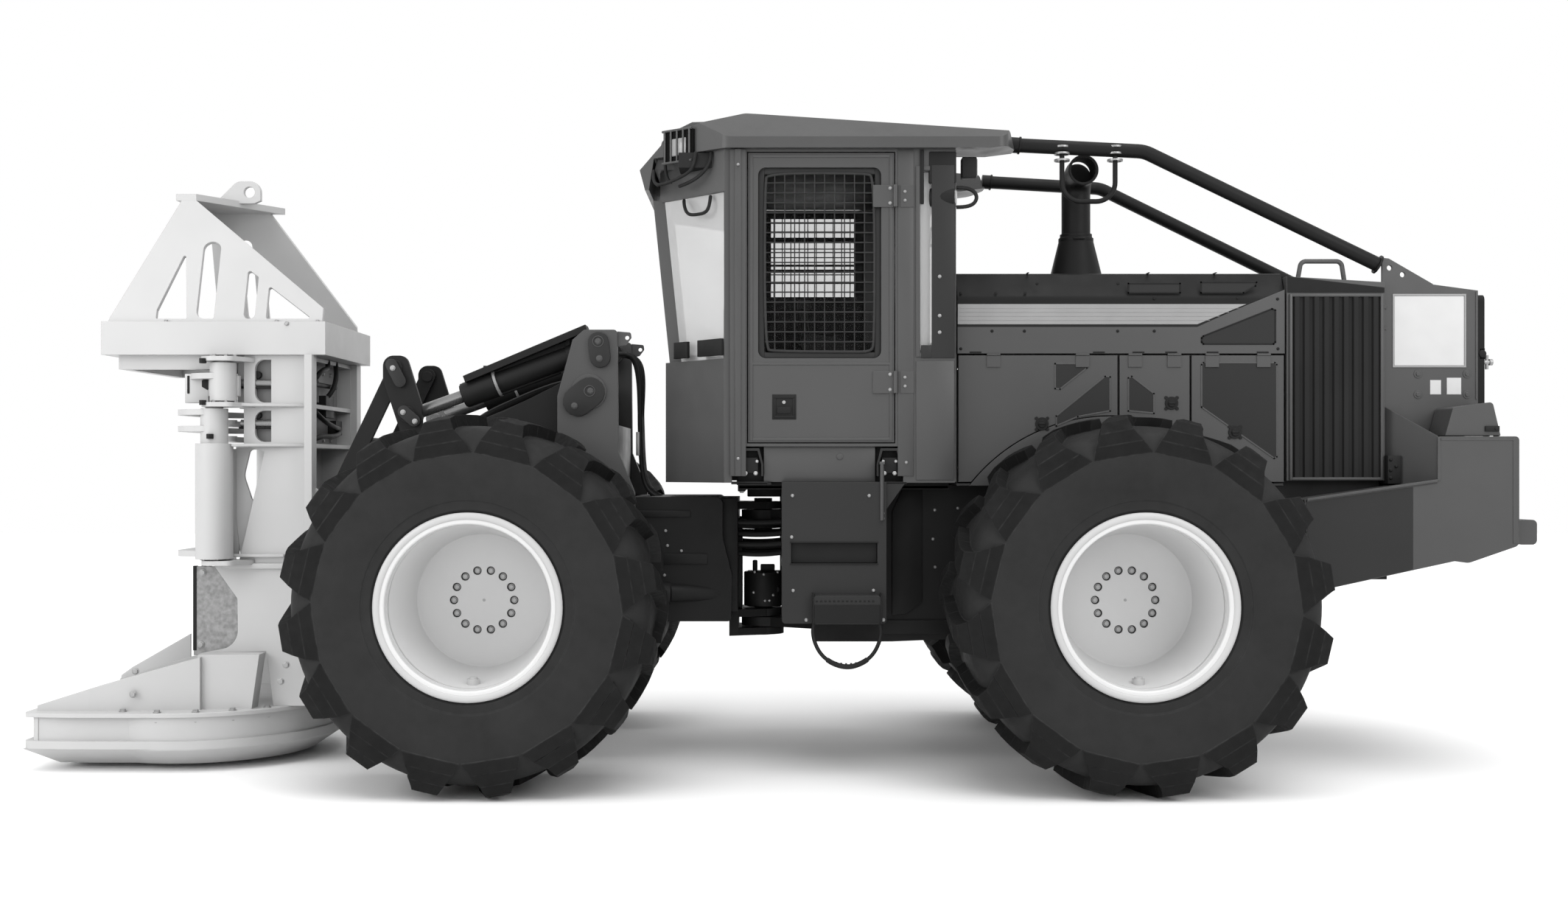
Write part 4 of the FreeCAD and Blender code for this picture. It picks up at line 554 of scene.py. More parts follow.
class FELLER_OT_rims(bpy.types.Operator):
    """Add the beads, valve cover, cone and bolts of the rims"""
    bl_idname = "feller.rims"
    bl_label = "Rims"

    def execute(self, context):
        bm = bmesh.new()
        for name, side in WHEELS:
            centre = wheel_centre(name)
            lip = side * 0.352
            bead = [(0.43 + 0.018 * math.cos(a), lip - side * 0.004 + side * 0.012 * math.sin(a))
                    for a in [i * math.pi / 6 for i in range(12)]]
            for profile in (bead, [(0.396, side * 0.28), (0.387, side * 0.284), (0.387, side * 0.3),
                                   (0.396, side * 0.304)],
                            [(0.335, -side * 0.103), (0.345, -side * 0.094), (0.372, -side * 0.075),
                             (0.36, -side * 0.1)]):
                turn(bm, profile, centre, "Y", RIM_STEPS)
            for outer, inner, radius in ((-0.392, -0.353, 0.03), (-0.353, -0.345, 0.02)):
                bar(bm, centre + Vector((0, side * 0.19, outer)), centre + Vector((0, side * 0.19, inner)), radius,
                    24)
            # painted shade: the beads and valve cover take the shaded copy of the rim paint
            piece(bm, name + "_rim_beads", name + "_wheel", "rim_shaded")
            turn(bm, [(0.391, side * 0.262), (0.33, -side * 0.085), (0.335, -side * 0.094), (0.396, side * 0.258)],
                 centre, "Y", RIM_STEPS)
            piece(bm, name + "_rim_cone", name + "_wheel", "rim")
            circle = [(BOLT_CIRCLE * math.cos(a), BOLT_CIRCLE * math.sin(a))
                      for a in [2 * math.pi * i / WHEEL_BOLTS for i in range(WHEEL_BOLTS)]]
            # painted shade: dark rings behind the wheel bolts stand for the shade in their recesses
            for x, z in circle:
                spot = centre + Vector((x, -side * 0.1185, z))
                bar(bm, spot, spot + Vector((0, side * 0.003, 0)), 0.021, 20)
            piece(bm, name + "_bolt_recess_shade", name + "_wheel", "deep_shade")
            for x, z in circle:
                bolts(bm, [centre + Vector((x, -side * 0.118, z))], (0, side, 0),
                      context.scene.feller.tyres.bolt_size, 0.011)
            bar(bm, centre + Vector((0, -side * 0.106, 0)), centre + Vector((0, -side * 0.1035, 0)), 0.007, 12)
            bar(bm, centre + Vector((0.045, side * 0.02, -0.385)), centre + Vector((0.075, side * 0.05, -0.352)),
                0.006, 12)
            piece(bm, name + "_wheel_bolts", name + "_wheel", "zinc")
        return {"FINISHED"}


# ---- step loop ---------------------------------------------------------------------------------

STEP_ROUTE = ((-0.204, 0.815), (-0.188, 0.76), (-0.196, 0.69), (-0.232, 0.62), (-0.295, 0.574), (-0.37, 0.556),
              (-0.44, 0.577), (-0.497, 0.62), (-0.532, 0.69), (-0.541, 0.76), (-0.524, 0.815))
STEP_DIAMETER, STEP_Y = 0.02, 0.812


class FELLER_OT_step_loop(bpy.types.Operator):
    """Hang the rubber-covered cable step below the side box"""
    bl_idname = "feller.step_loop"
    bl_label = "Cable Step"

    def execute(self, context):
        curve = bpy.data.curves.new("cable_step_loop", "CURVE")
        curve.dimensions = "3D"
        spline = curve.splines.new("NURBS")
        spline.points.add(len(STEP_ROUTE) - 1)
        for point, (x, z) in zip(spline.points, STEP_ROUTE):
            point.co = (x, STEP_Y, z, 1)
        spline.order_u = 3
        spline.use_endpoint_u = True
        spline.resolution_u = 12
        loop = bpy.data.objects.new("cable_step_loop", curve)
        context.scene.collection.objects.link(loop)
        line = bpy.data.meshes.new_from_object(loop)
        bpy.data.meshes.remove(line)
        curve.bevel_depth = STEP_DIAMETER / 2
        curve.bevel_resolution = 4
        curve.use_fill_caps = True
        curve.materials.append(finish_surface("cable_rubber", (0.01,) * 3, 0.1, (0.5, 0.65), grain=160, specular=0.25))
        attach(loop, REAR)
        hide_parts("cable_step")
        return {"FINISHED"}


# ---- cab ---------------------------------------------------------------------------------------

CAB_SIDE, DOOR_SKIN = 0.76, 0.763
WINDOW = (-0.542, 0.088, 2.133, 3.11)


def mesh_guard(bm, low_x, high_x, low_z, high_z, y, pitch=0.051, wire=0.0035):
    """A welded mesh in a bent rod frame."""
    columns = round((high_x - low_x) / pitch)
    for i in range(1, columns):
        x = low_x + (high_x - low_x) * i / columns
        pin(bm, (x, y, low_z), "Z", high_z, wire, 6)
    rows = round((high_z - low_z) / pitch)
    for i in range(1, rows):
        z = low_z + (high_z - low_z) * i / rows
        pin(bm, (low_x, y + wire, z), "X", high_x, wire, 6)
    r = 0.045
    frame_route = [(low_x + r, y, low_z), (high_x - r, y, low_z), (high_x, y, low_z + r * 0.4), (high_x, y, high_z - r),
                   (high_x - r * 0.4, y, high_z), (low_x + r, y, high_z), (low_x, y, high_z - r * 0.4),
                   (low_x, y, low_z + r), (low_x + r * 0.4, y, low_z), (low_x + r + 0.02, y, low_z)]
    add_strand(bm, frame_route, 0.0075, 3)


def window_border(bm, window, width, low_y, high_y):
    """Four strips round a window's opening."""
    x0, x1, z0, z1 = window
    block(bm, (x0, low_y, z0), (x0 + width, high_y, z1), (x1 - width, low_y, z0), (x1, high_y, z1),
          (x0 + width, low_y, z0), (x1 - width, high_y, z0 + width),
          (x0 + width, low_y, z1 - width), (x1 - width, high_y, z1))


class FELLER_OT_cab_door(bpy.types.Operator):
    """Add the door's window guard, seal, flange, latch, bolts and grab handle"""
    bl_idname = "feller.cab_door"
    bl_label = "Cab Door Details"

    def execute(self, context):
        bm = bmesh.new()
        mesh_guard(bm, -0.508, 0.054, 2.167, 3.082, 0.748)
        for x, z in ((-0.508, 2.35), (-0.508, 2.9), (0.054, 2.35), (0.054, 2.9)):
            pin(bm, (x, 0.722, z), "Y", 0.748, 0.009, 12)
        piece(bm, "door_window_guard", "cab_door", "shaded")
        window_border(bm, WINDOW, 0.032, 0.728, 0.744)
        piece(bm, "door_window_seal", "cab_door", "shaded", bevel=0.003)
        window_border(bm, (-0.6, 0.131, 1.711, 3.176), 0.016, 0.76, 0.7645)
        block(bm, (-0.6, 0.76, 2.098), (0.131, DOOR_SKIN, 2.112))
        piece(bm, "door_edge_flange", "cab_door", "body", bevel=0.0015)
        boxes("door_latch", "cab_door", "black", (-0.107, 0.757, 1.82), (0.016, DOOR_SKIN, 1.948),
              (-0.098, DOOR_SKIN, 1.828), (0.007, 0.766, 1.84), (-0.098, DOOR_SKIN, 1.928), (0.007, 0.766, 1.94),
              (-0.098, DOOR_SKIN, 1.84), (-0.088, 0.766, 1.928), (-0.003, DOOR_SKIN, 1.84), (0.007, 0.766, 1.928),
              (-0.08, DOOR_SKIN, 1.85), (-0.01, 0.771, 1.885), bevel=0.002)
        pin(bm, (-0.044, DOOR_SKIN, 1.908), "Y", 0.769, 0.009, 16)
        bolts(bm, [(-0.587, 0.768, z) for z in (3.002, 2.926, 2.05, 1.972)], (0, 1, 0), 0.007)
        piece(bm, "door_bolts", "cab_door", "zinc")
        hoses("door_grab_handle", "cab_door", [[(0.112, 0.7, 2.3), (0.112, 0.66, 2.3), (0.112, 0.655, 2.4),
                                                (0.112, 0.655, 2.7), (0.112, 0.66, 2.8), (0.112, 0.7, 2.8)]],
              0.011, "black")
        return {"FINISHED"}


def turned_block(bm, centre, size, normal):
    """A box whose Y side faces along normal, level with the ground."""
    across = Vector((normal[0], normal[1], 0)).normalized()
    turned = Matrix((Vector((across.y, -across.x, 0)), across, Vector((0, 0, 1)))).transposed()
    where = Matrix.LocRotScale(Vector(centre), turned.to_quaternion(), Vector(size))
    bmesh.ops.create_cube(bm, size=1.0, matrix=where)


# how far the corner lamps face ahead and aside
LAMP_AHEAD, LAMP_ASIDE = 0.612, 0.79


class FELLER_OT_cab(bpy.types.Operator):
    """Add the posts, lamps, handles and linings of the cab"""
    bl_idname = "feller.cab"
    bl_label = "Cab Details"

    def execute(self, context):
        bm = bmesh.new()
        block(bm, (0.15, CAB_SIDE, 1.53), (0.232, CAB_SIDE + 0.018, 3.2),
              (0.175, CAB_SIDE + 0.018, 1.53), (0.207, CAB_SIDE + 0.026, 3.2),
              (-0.708, CAB_SIDE, 1.53), (-0.626, CAB_SIDE + 0.005, 3.2),
              (-0.915, CAB_SIDE, 1.51), (-0.72, CAB_SIDE + 0.006, 2.12),
              (-0.925, CAB_SIDE - 0.06, 1.5), (-0.92, CAB_SIDE + 0.004, 3.2))
        window_border(bm, (-0.906, -0.719, 2.139, 3.116), 0.022, CAB_SIDE, CAB_SIDE + 0.008)
        piece(bm, "cab_posts", REAR, "body", bevel=0.003, mirror=True)
        boxes("rear_quarter_posts", REAR, "shaded",
              (-0.916, CAB_SIDE, 2.135), (-0.8, CAB_SIDE + 0.0095, 3.12),
              (-0.8, CAB_SIDE, 2.135), (-0.745, CAB_SIDE + 0.0095, 2.2), bevel=0.002, mirror=True)
        bolts(bm, [(-0.84, CAB_SIDE + 0.0095, z) for z in (2.55, 2.35, 2.265)], (0, 1, 0), 0.007)
        bolts(bm, [(-0.663, 0.768, z) for z in (2.985, 2.94, 2.035, 1.99)], (0, 1, 0), 0.006)
        bolts(bm, [(0.19, 0.786, z) for z in (1.62, 3.12)] + [(-0.67, 0.765, 1.6)], (0, 1, 0), 0.006)
        piece(bm, "cab_bolts", REAR, "zinc", mirror=True)
        # dark linings seen through the windows
        block(bm, (-0.852, -0.69, 3.12), (0.5, 0.69, 3.2), (-0.858, -0.69, 1.703), (-0.85, 0.69, 2.25),
              (-0.85, -0.694, 1.703), (0.24, 0.69, 1.712))
        for side in (1, -1):
            block(bm, (-0.85, side * 0.697, 1.72), (-0.62, side * 0.69, 2.15),
                  (0.146, side * 0.697, 1.72), (0.24, side * 0.69, 3.12),
                  (-0.72, side * 0.697, 2.15), (-0.62, side * 0.69, 3.12))
        block(bm, (-0.6, -0.699, 1.72), (0.14, -0.692, 2.13))
        piece(bm, "cab_linings", REAR, "black", bevel=0.004)
        block(bm, (-0.54, -0.742, 2.135), (0.086, -0.728, 2.6))
        for z, half in ((2.945, 0.0135), (2.79, 0.006), (2.76, 0.006)):
            block(bm, (-0.54, -0.744, z - half), (0.086, -0.73, z + half))
        block(bm, (-0.54, -0.744, 3.07), (0.086, -0.73, 3.12), (0.02, -0.744, 2.6), (0.086, -0.73, 3.07),
              (-0.54, -0.744, 2.6), (-0.486, -0.73, 3.07))
        piece(bm, "right_window_panel", REAR, "black", bevel=0.003)
        mesh_guard(bm, -0.508, 0.054, 2.167, 3.098, -0.752)
        piece(bm, "right_window_guard", REAR, "chassis")
        # controls inside
        for side in (1, -1):
            block(bm, (-0.35, side * 0.3, 2.285), (-0.14, side * 0.4, 2.3))
            bar(bm, (-0.17, side * 0.35, 2.29), (-0.15, side * 0.35, 2.42), 0.014, 16, 0.02)
            block(bm, (-0.19, side * 0.32, 2.42), (-0.12, side * 0.38, 2.47))
        block(bm, (0.3, -0.12, 1.72), (0.42, 0.12, 1.76), (0.22, -0.68, 2.2), (0.3, -0.42, 2.5))
        pin(bm, (0.26, -0.55, 2.12), "Z", 2.3, 0.02, 12)
        piece(bm, "cab_controls", REAR, "black", bevel=0.006)
        hoses("window_handles", REAR, [
            [(0.335, 0.672, 2.975), (0.335, 0.705, 2.96), (0.34, 0.715, 2.885), (0.4, 0.66, 2.885), (0.47, 0.6, 2.885),
             (0.478, 0.575, 2.96), (0.478, 0.545, 2.975)]], 0.009, "chassis")
        for side in (1, -1):
            turned_block(bm, (0.335, side * 0.6885, 2.192), (0.2, 0.02, 0.086), (0.768, side * 0.64))
            turned_block(bm, (0.493, side * 0.499, 2.192), (0.116, 0.02, 0.086), (0.768, side * 0.64))
            block(bm, (0.236, side * 0.69, 2.14), (0.262, side * 0.728, 2.98))
        piece(bm, "corner_window_trims", REAR, "black", bevel=0.002)
        side_plate(bm, [(0.64, 3.15), (0.6, 3.3), (0.548, 3.352), (0.44, 3.405), (0.2, 3.412), (0.2, 3.25),
                        (0.45, 3.15)], -0.46, 0.46)
        piece(bm, "roof_brow", REAR, "body", bevel=0.004)
        # front corner lamps and visor brackets
        # painted shade: thin near-black plates behind the corner lamps stand for their recesses
        for side in (1, -1):
            turned_block(bm, (0.5, side * 0.617, 3.245), (0.2, 0.02, 0.16), (LAMP_AHEAD, side * LAMP_ASIDE))
        piece(bm, "corner_lamp_recess", REAR, "dark")
        for side in (1, -1):
            normal = Vector((LAMP_AHEAD, side * LAMP_ASIDE, 0))
            along_x = Vector((LAMP_ASIDE, -side * LAMP_AHEAD, 0))
            middle = Vector((0.5, side * 0.617, 3.245)) + normal * 0.018
            for i in range(5):
                spot = middle + along_x * (i - 2) * 0.042
                bar(bm, spot - Vector((0, 0, 0.085)), spot + Vector((0, 0, 0.085)), 0.0055, 8)
            for lift in (-0.083, 0.083):
                bar(bm, middle - along_x * 0.1 + Vector((0, 0, lift)), middle + along_x * 0.1 + Vector((0, 0, lift)),
                    0.0065, 8)
        piece(bm, "corner_lamp_bars", REAR, "body")
        for side in (1, -1):
            turned_block(bm, (0.505, side * 0.625, 3.24), (0.11, 0.012, 0.09), (LAMP_AHEAD, side * LAMP_ASIDE))
        piece(bm, "corner_lamps", REAR, "lamp", bevel=0.004)
        hoses("visor_brackets", REAR, [
            [(0.64, 0.5, 3.14), (0.645, 0.53, 3.06), (0.6, 0.56, 3.045), (0.45, 0.68, 3.09), (0.42, 0.7, 3.12),
             (0.41, 0.7, 3.2)],
            [(0.58, 0.5, 3.2), (0.58, 0.53, 3.1), (0.56, 0.55, 3.07), (0.54, 0.55, 3.07)],
            [(0.33, 0.7, 3.2), (0.33, 0.72, 3.1), (0.42, 0.68, 3.05), (0.5, 0.6, 3.04)]], 0.009, "chassis", mirror=True)
        # rear corner lamps under the roof
        block(bm, (-0.926, 0.66, 3.03), (-0.787, 0.769, 3.19), (-1.036, 0.65, 3.065), (-0.96, 0.73, 3.17))
        bar(bm, (-0.8, 0.7, 2.96), (-0.925, 0.73, 2.96), 0.058, 24)
        block(bm, (-0.76, 0.76, 2.92), (-0.74, 0.775, 3.2))
        pin(bm, (-0.85, 0.72, 3.0), "Z", 3.04, 0.015, 12)
        piece(bm, "rear_corner_lamps", REAR, "chassis", bevel=0.006, mirror=True)
        block(bm, (-1.04, 0.66, 3.075), (-1.034, 0.72, 3.16))
        bar(bm, (-0.925, 0.73, 2.96), (-0.93, 0.731, 2.96), 0.048, 24)
        piece(bm, "rear_corner_lenses", REAR, "lamp", mirror=True)
        hoses("rear_lamp_loops", REAR, [
            [(-0.93, 0.735, 3.01), (-1.0, 0.735, 3.01), (-1.035, 0.735, 2.98), (-1.035, 0.735, 2.94),
             (-1.0, 0.735, 2.91), (-0.93, 0.735, 2.91)]], 0.01, "chassis", mirror=True)
        return {"FINISHED"}


# ---- engine end --------------------------------------------------------------------------------

HOOD_SIDE, GRILLE_SIDE, REAR_BOX_SIDE, TANK_SIDE = 0.64, 0.65, 0.6, 0.85
COUNTERWEIGHT_BACK = -3.766
FAN_Z = 2.135
EXHAUST_X, EXHAUST_Y = -1.633, 0.25


def framed_mesh(bm_sheet, bm_edge, outline, y, width=0.008):
    """A perforated sheet and the lip round its opening."""
    side_plate(bm_sheet, outline, y, y + 0.0012)
    for (x0, z0), (x1, z1) in zip(outline, outline[1:] + outline[:1]):
        run = Vector((x1 - x0, 0, z1 - z0)).normalized() * width
        lift = Vector((-run.z, 0, run.x)) * 0.5
        corners = [Vector((x0, y, z0)) - run * 0.5 - lift, Vector((x1, y, z1)) + run * 0.5 - lift,
                   Vector((x1, y, z1)) + run * 0.5 + lift, Vector((x0, y, z0)) - run * 0.5 + lift]
        slab(bm_edge, corners, (0, 0.0026, 0))


def door_latch(bm, x, z, y=HOOD_SIDE):
    """A round quarter-turn latch on a four-lobed plate."""
    pin(bm, (x, y, z), "Y", y + 0.006, 0.034, 28)
    for turn_by in (45, 135, 225, 315):
        angle = math.radians(turn_by)
        spot = (x + 0.04 * math.cos(angle), z + 0.04 * math.sin(angle))
        pin(bm, (spot[0], y, spot[1]), "Y", y + 0.004, 0.009, 12)
    pin(bm, (x, y + 0.006, z), "Y", y + 0.011, 0.019, 20)
    block(bm, (x - 0.016, y + 0.011, z - 0.004), (x + 0.016, y + 0.014, z + 0.004))


DOOR_OPENINGS = {
    "front": ([(-1.453, 2.113), (-1.612, 2.113), (-1.617, 2.09), (-1.478, 1.981), (-1.453, 1.984)],
              [(-1.459, 1.841), (-1.712, 2.047), (-1.738, 2.044), (-1.738, 1.868), (-1.57, 1.838), (-1.459, 1.79)]),
    "middle": ([(-1.833, 2.039), (-1.85, 2.047), (-1.965, 1.958), (-1.965, 1.856), (-1.833, 1.868)],),
    "rear": ([(-2.213, 2.108), (-2.223, 2.118), (-2.593, 2.118), (-2.603, 2.108), (-2.603, 1.63), (-2.59, 1.622),
              (-2.213, 1.888)],)}
DOOR_LATCHES = {"front": (-1.384, 1.801), "middle": (-2.057, 1.908), "rear": (-2.386, 1.757)}


class FELLER_OT_engine_doors(bpy.types.Operator):
    """Add the mesh openings and latches of the engine doors"""
    bl_idname = "feller.engine_doors"
    bl_label = "Engine Door Details"

    def execute(self, context):
        for side, hand in ((1, "left"), (-1, "right")):
            for name, openings in DOOR_OPENINGS.items():
                body = "engine_door_%s_%s" % (hand, name)
                sheet, lip, latch = bmesh.new(), bmesh.new(), bmesh.new()
                for outline in openings:
                    framed_mesh(sheet, lip, outline, HOOD_SIDE)
                door_latch(latch, *DOOR_LATCHES[name])
                for bm in (sheet, lip, latch):
                    if side < 0:
                        bmesh.ops.scale(bm, vec=(1, -1, 1), verts=bm.verts[:])
                piece(sheet, body + "_mesh", body, "mesh")
                piece(lip, body + "_lip", body, "body")
                piece(latch, body + "_latch", body, "black")
        return {"FINISHED"}


class FELLER_OT_hood(bpy.types.Operator):
    """Add the hood's lower band, stripe, mesh windows, screws and seams"""
    bl_idname = "feller.hood"
    bl_label = "Hood Details"

    def execute(self, context):
        y = HOOD_SIDE
        bm = bmesh.new()
        side_plate(bm, [(-0.946, 2.166), (-0.946, 2.307), (-2.188, 2.307), (-2.441, 2.414), (-2.644, 2.497),
                        (-2.644, 2.166)], y, y + 0.0015)
        piece(bm, "hood_lower_band", REAR, "body", mirror=True)
        side_plate(bm, [(-0.947, 2.304), (-0.947, 2.319), (-2.19, 2.319), (-2.452, 2.43), (-2.47, 2.43),
                        (-2.19, 2.304)], y + 0.0015, y + 0.0022)
        piece(bm, "stripe_shadow_line", REAR, "black", mirror=True)
        side_plate(bm, [(-0.947, 2.317), (-0.947, 2.422), (-2.445, 2.422), (-2.19, 2.317)], y + 0.0015, y + 0.0035)
        for z in (2.338, 2.359, 2.38, 2.401):
            end = -2.205 - (z - 2.317) * 2.38
            block(bm, (end, y + 0.0035, z - 0.0012), (-0.955, y + 0.0042, z + 0.0012))
        piece(bm, "hood_stripe", REAR, "stripe", mirror=True)
        sheet, lip = bmesh.new(), bmesh.new()
        framed_mesh(sheet, lip, [(-2.213, 2.225), (-2.213, 2.246), (-2.222, 2.256), (-2.578, 2.397), (-2.595, 2.39),
                                 (-2.595, 2.225), (-2.586, 2.215), (-2.222, 2.215)], y + 0.0015)
        framed_mesh(sheet, lip, [(-1.833, 2.481), (-1.833, 2.529), (-2.101, 2.529), (-2.101, 2.481)], y)
        framed_mesh(sheet, lip, [(-2.21, 2.481), (-2.21, 2.535), (-2.498, 2.535), (-2.492, 2.516), (-2.43, 2.481)], y)
        piece(sheet, "hood_mesh", REAR, "mesh", mirror=True)
        piece(lip, "hood_mesh_lips", REAR, "hood", mirror=True)
        bolts(bm, [(x, y + 0.0015, 2.19) for x in (-0.963, -2.609)]
              + [(x, y + 0.0015, 2.282) for x in (-1.125, -1.293, -1.777, -1.967)]
              + [(x, y, 2.478) for x in (-0.963, -1.145, -1.297)] + [(x, y, 2.528) for x in (-1.358, -1.779)]
              + [(-1.967, y, 2.45), (-2.4, y, 2.453), (-2.607, y + 0.0015, 2.448)], (0, 1, 0), 0.006, 0.004)
        piece(bm, "hood_screws", REAR, "hood", mirror=True)
        for x in (-1.04, -1.68, -1.885, -2.055, -2.27, -2.53):
            block(bm, (x - 0.03, y, 2.168), (x + 0.03, y + 0.004, 2.176))
        piece(bm, "hood_seam_clips", REAR, "black", mirror=True)
        # top of the hood: panel seams and lift latches
        for x in (-1.32, -1.95, -2.3):
            block(bm, (x - 0.004, -0.6, 2.588), (x + 0.004, 0.6, 2.592))
        for x in (-1.12, -2.12):
            for side in (1, -1):
                block(bm, (x - 0.05, side * 0.4 - 0.012, 2.59), (x + 0.05, side * 0.4 + 0.012, 2.602))
        piece(bm, "hood_top_seams", REAR, "black")
        return {"FINISHED"}


class FELLER_OT_cooler(bpy.types.Operator):
    """Add the side grilles and dark cap of the cooling end"""
    bl_idname = "feller.cooler"
    bl_label = "Side Grilles"

    def execute(self, context):
        y = GRILLE_SIDE
        front, back, low, high = -2.677, -3.136, 1.517, 2.461
        bm = bmesh.new()
        # painted shade: the grille's backing and ribs take the deep-shade copy of the body paint
        block(bm, (back, y, low), (front, y + 0.001, high))
        pitch = (front - back) / 9
        for i in range(9):
            x = back + pitch * (i + 0.5)
            slab(bm, [(x - 0.014, y, low), (x - 0.012, y + 0.013, low), (x + 0.012, y + 0.013, low),
                      (x + 0.018, y, low)], (0, 0, high - low))
        piece(bm, "side_grille_ribs", REAR, "deep_shade", mirror=True)
        window_border(bm, (back - 0.013, front + 0.013, low - 0.008, high + 0.012), 0.014, y, y + 0.014)
        piece(bm, "side_grille_frame", REAR, "body", bevel=0.002, mirror=True)
        side_plate(bm, [(-2.654, 2.48), (-2.654, 2.565), (-3.158, 2.507), (-3.158, 2.48)], y, y + 0.002)
        piece(bm, "cooler_cap_sides", REAR, "hood", mirror=True)
        slab(bm, [(-2.654, -0.649, 2.5655), (-3.159, -0.649, 2.5055), (-3.159, 0.649, 2.5055),
                  (-2.654, 0.649, 2.5655)], (0, 0, 0.002))
        piece(bm, "cooler_cap_top", REAR, "hood")
        block(bm, (-3.158, 0.6, 1.49), (-3.226, 0.7, 1.636))
        bolts(bm, [(-3.172, 0.7, 1.52), (-3.172, 0.7, 1.56), (-3.172, 0.7, 1.615), (-3.2, 0.7, 1.58)], (0, 1, 0), 0.007)
        piece(bm, "grille_latch", REAR, "black", bevel=0.002, mirror=True)
        # painted shadow: thin darker plates on the tank's forward part, where the rear tyre shades it
        side_plate(bm, [(-2.684, 1.409), (-3.162, 1.478), (-3.229, 1.488), (-3.229, 1.058), (-2.832, 0.971),
                        (-2.704, 1.083)], TANK_SIDE, 0.8515)
        piece(bm, "tank_forward_shade_panels", REAR, "shaded", mirror=True)
        slab(bm, [(-2.69, TANK_SIDE, 1.4085), (-3.35, TANK_SIDE, 1.505), (-3.35, 0.862, 1.515), (-2.69, 0.862, 1.4185)],
             (0, 0, -0.012))
        block(bm, (-3.366, TANK_SIDE, 1.508), (-3.352, 0.854, 1.728))
        piece(bm, "tank_edge_strips", REAR, "body", mirror=True)
        boxes("cooler_sill", REAR, "black", (-3.15, -0.6, 1.41), (-2.6, 0.6, 1.507))
        return {"FINISHED"}


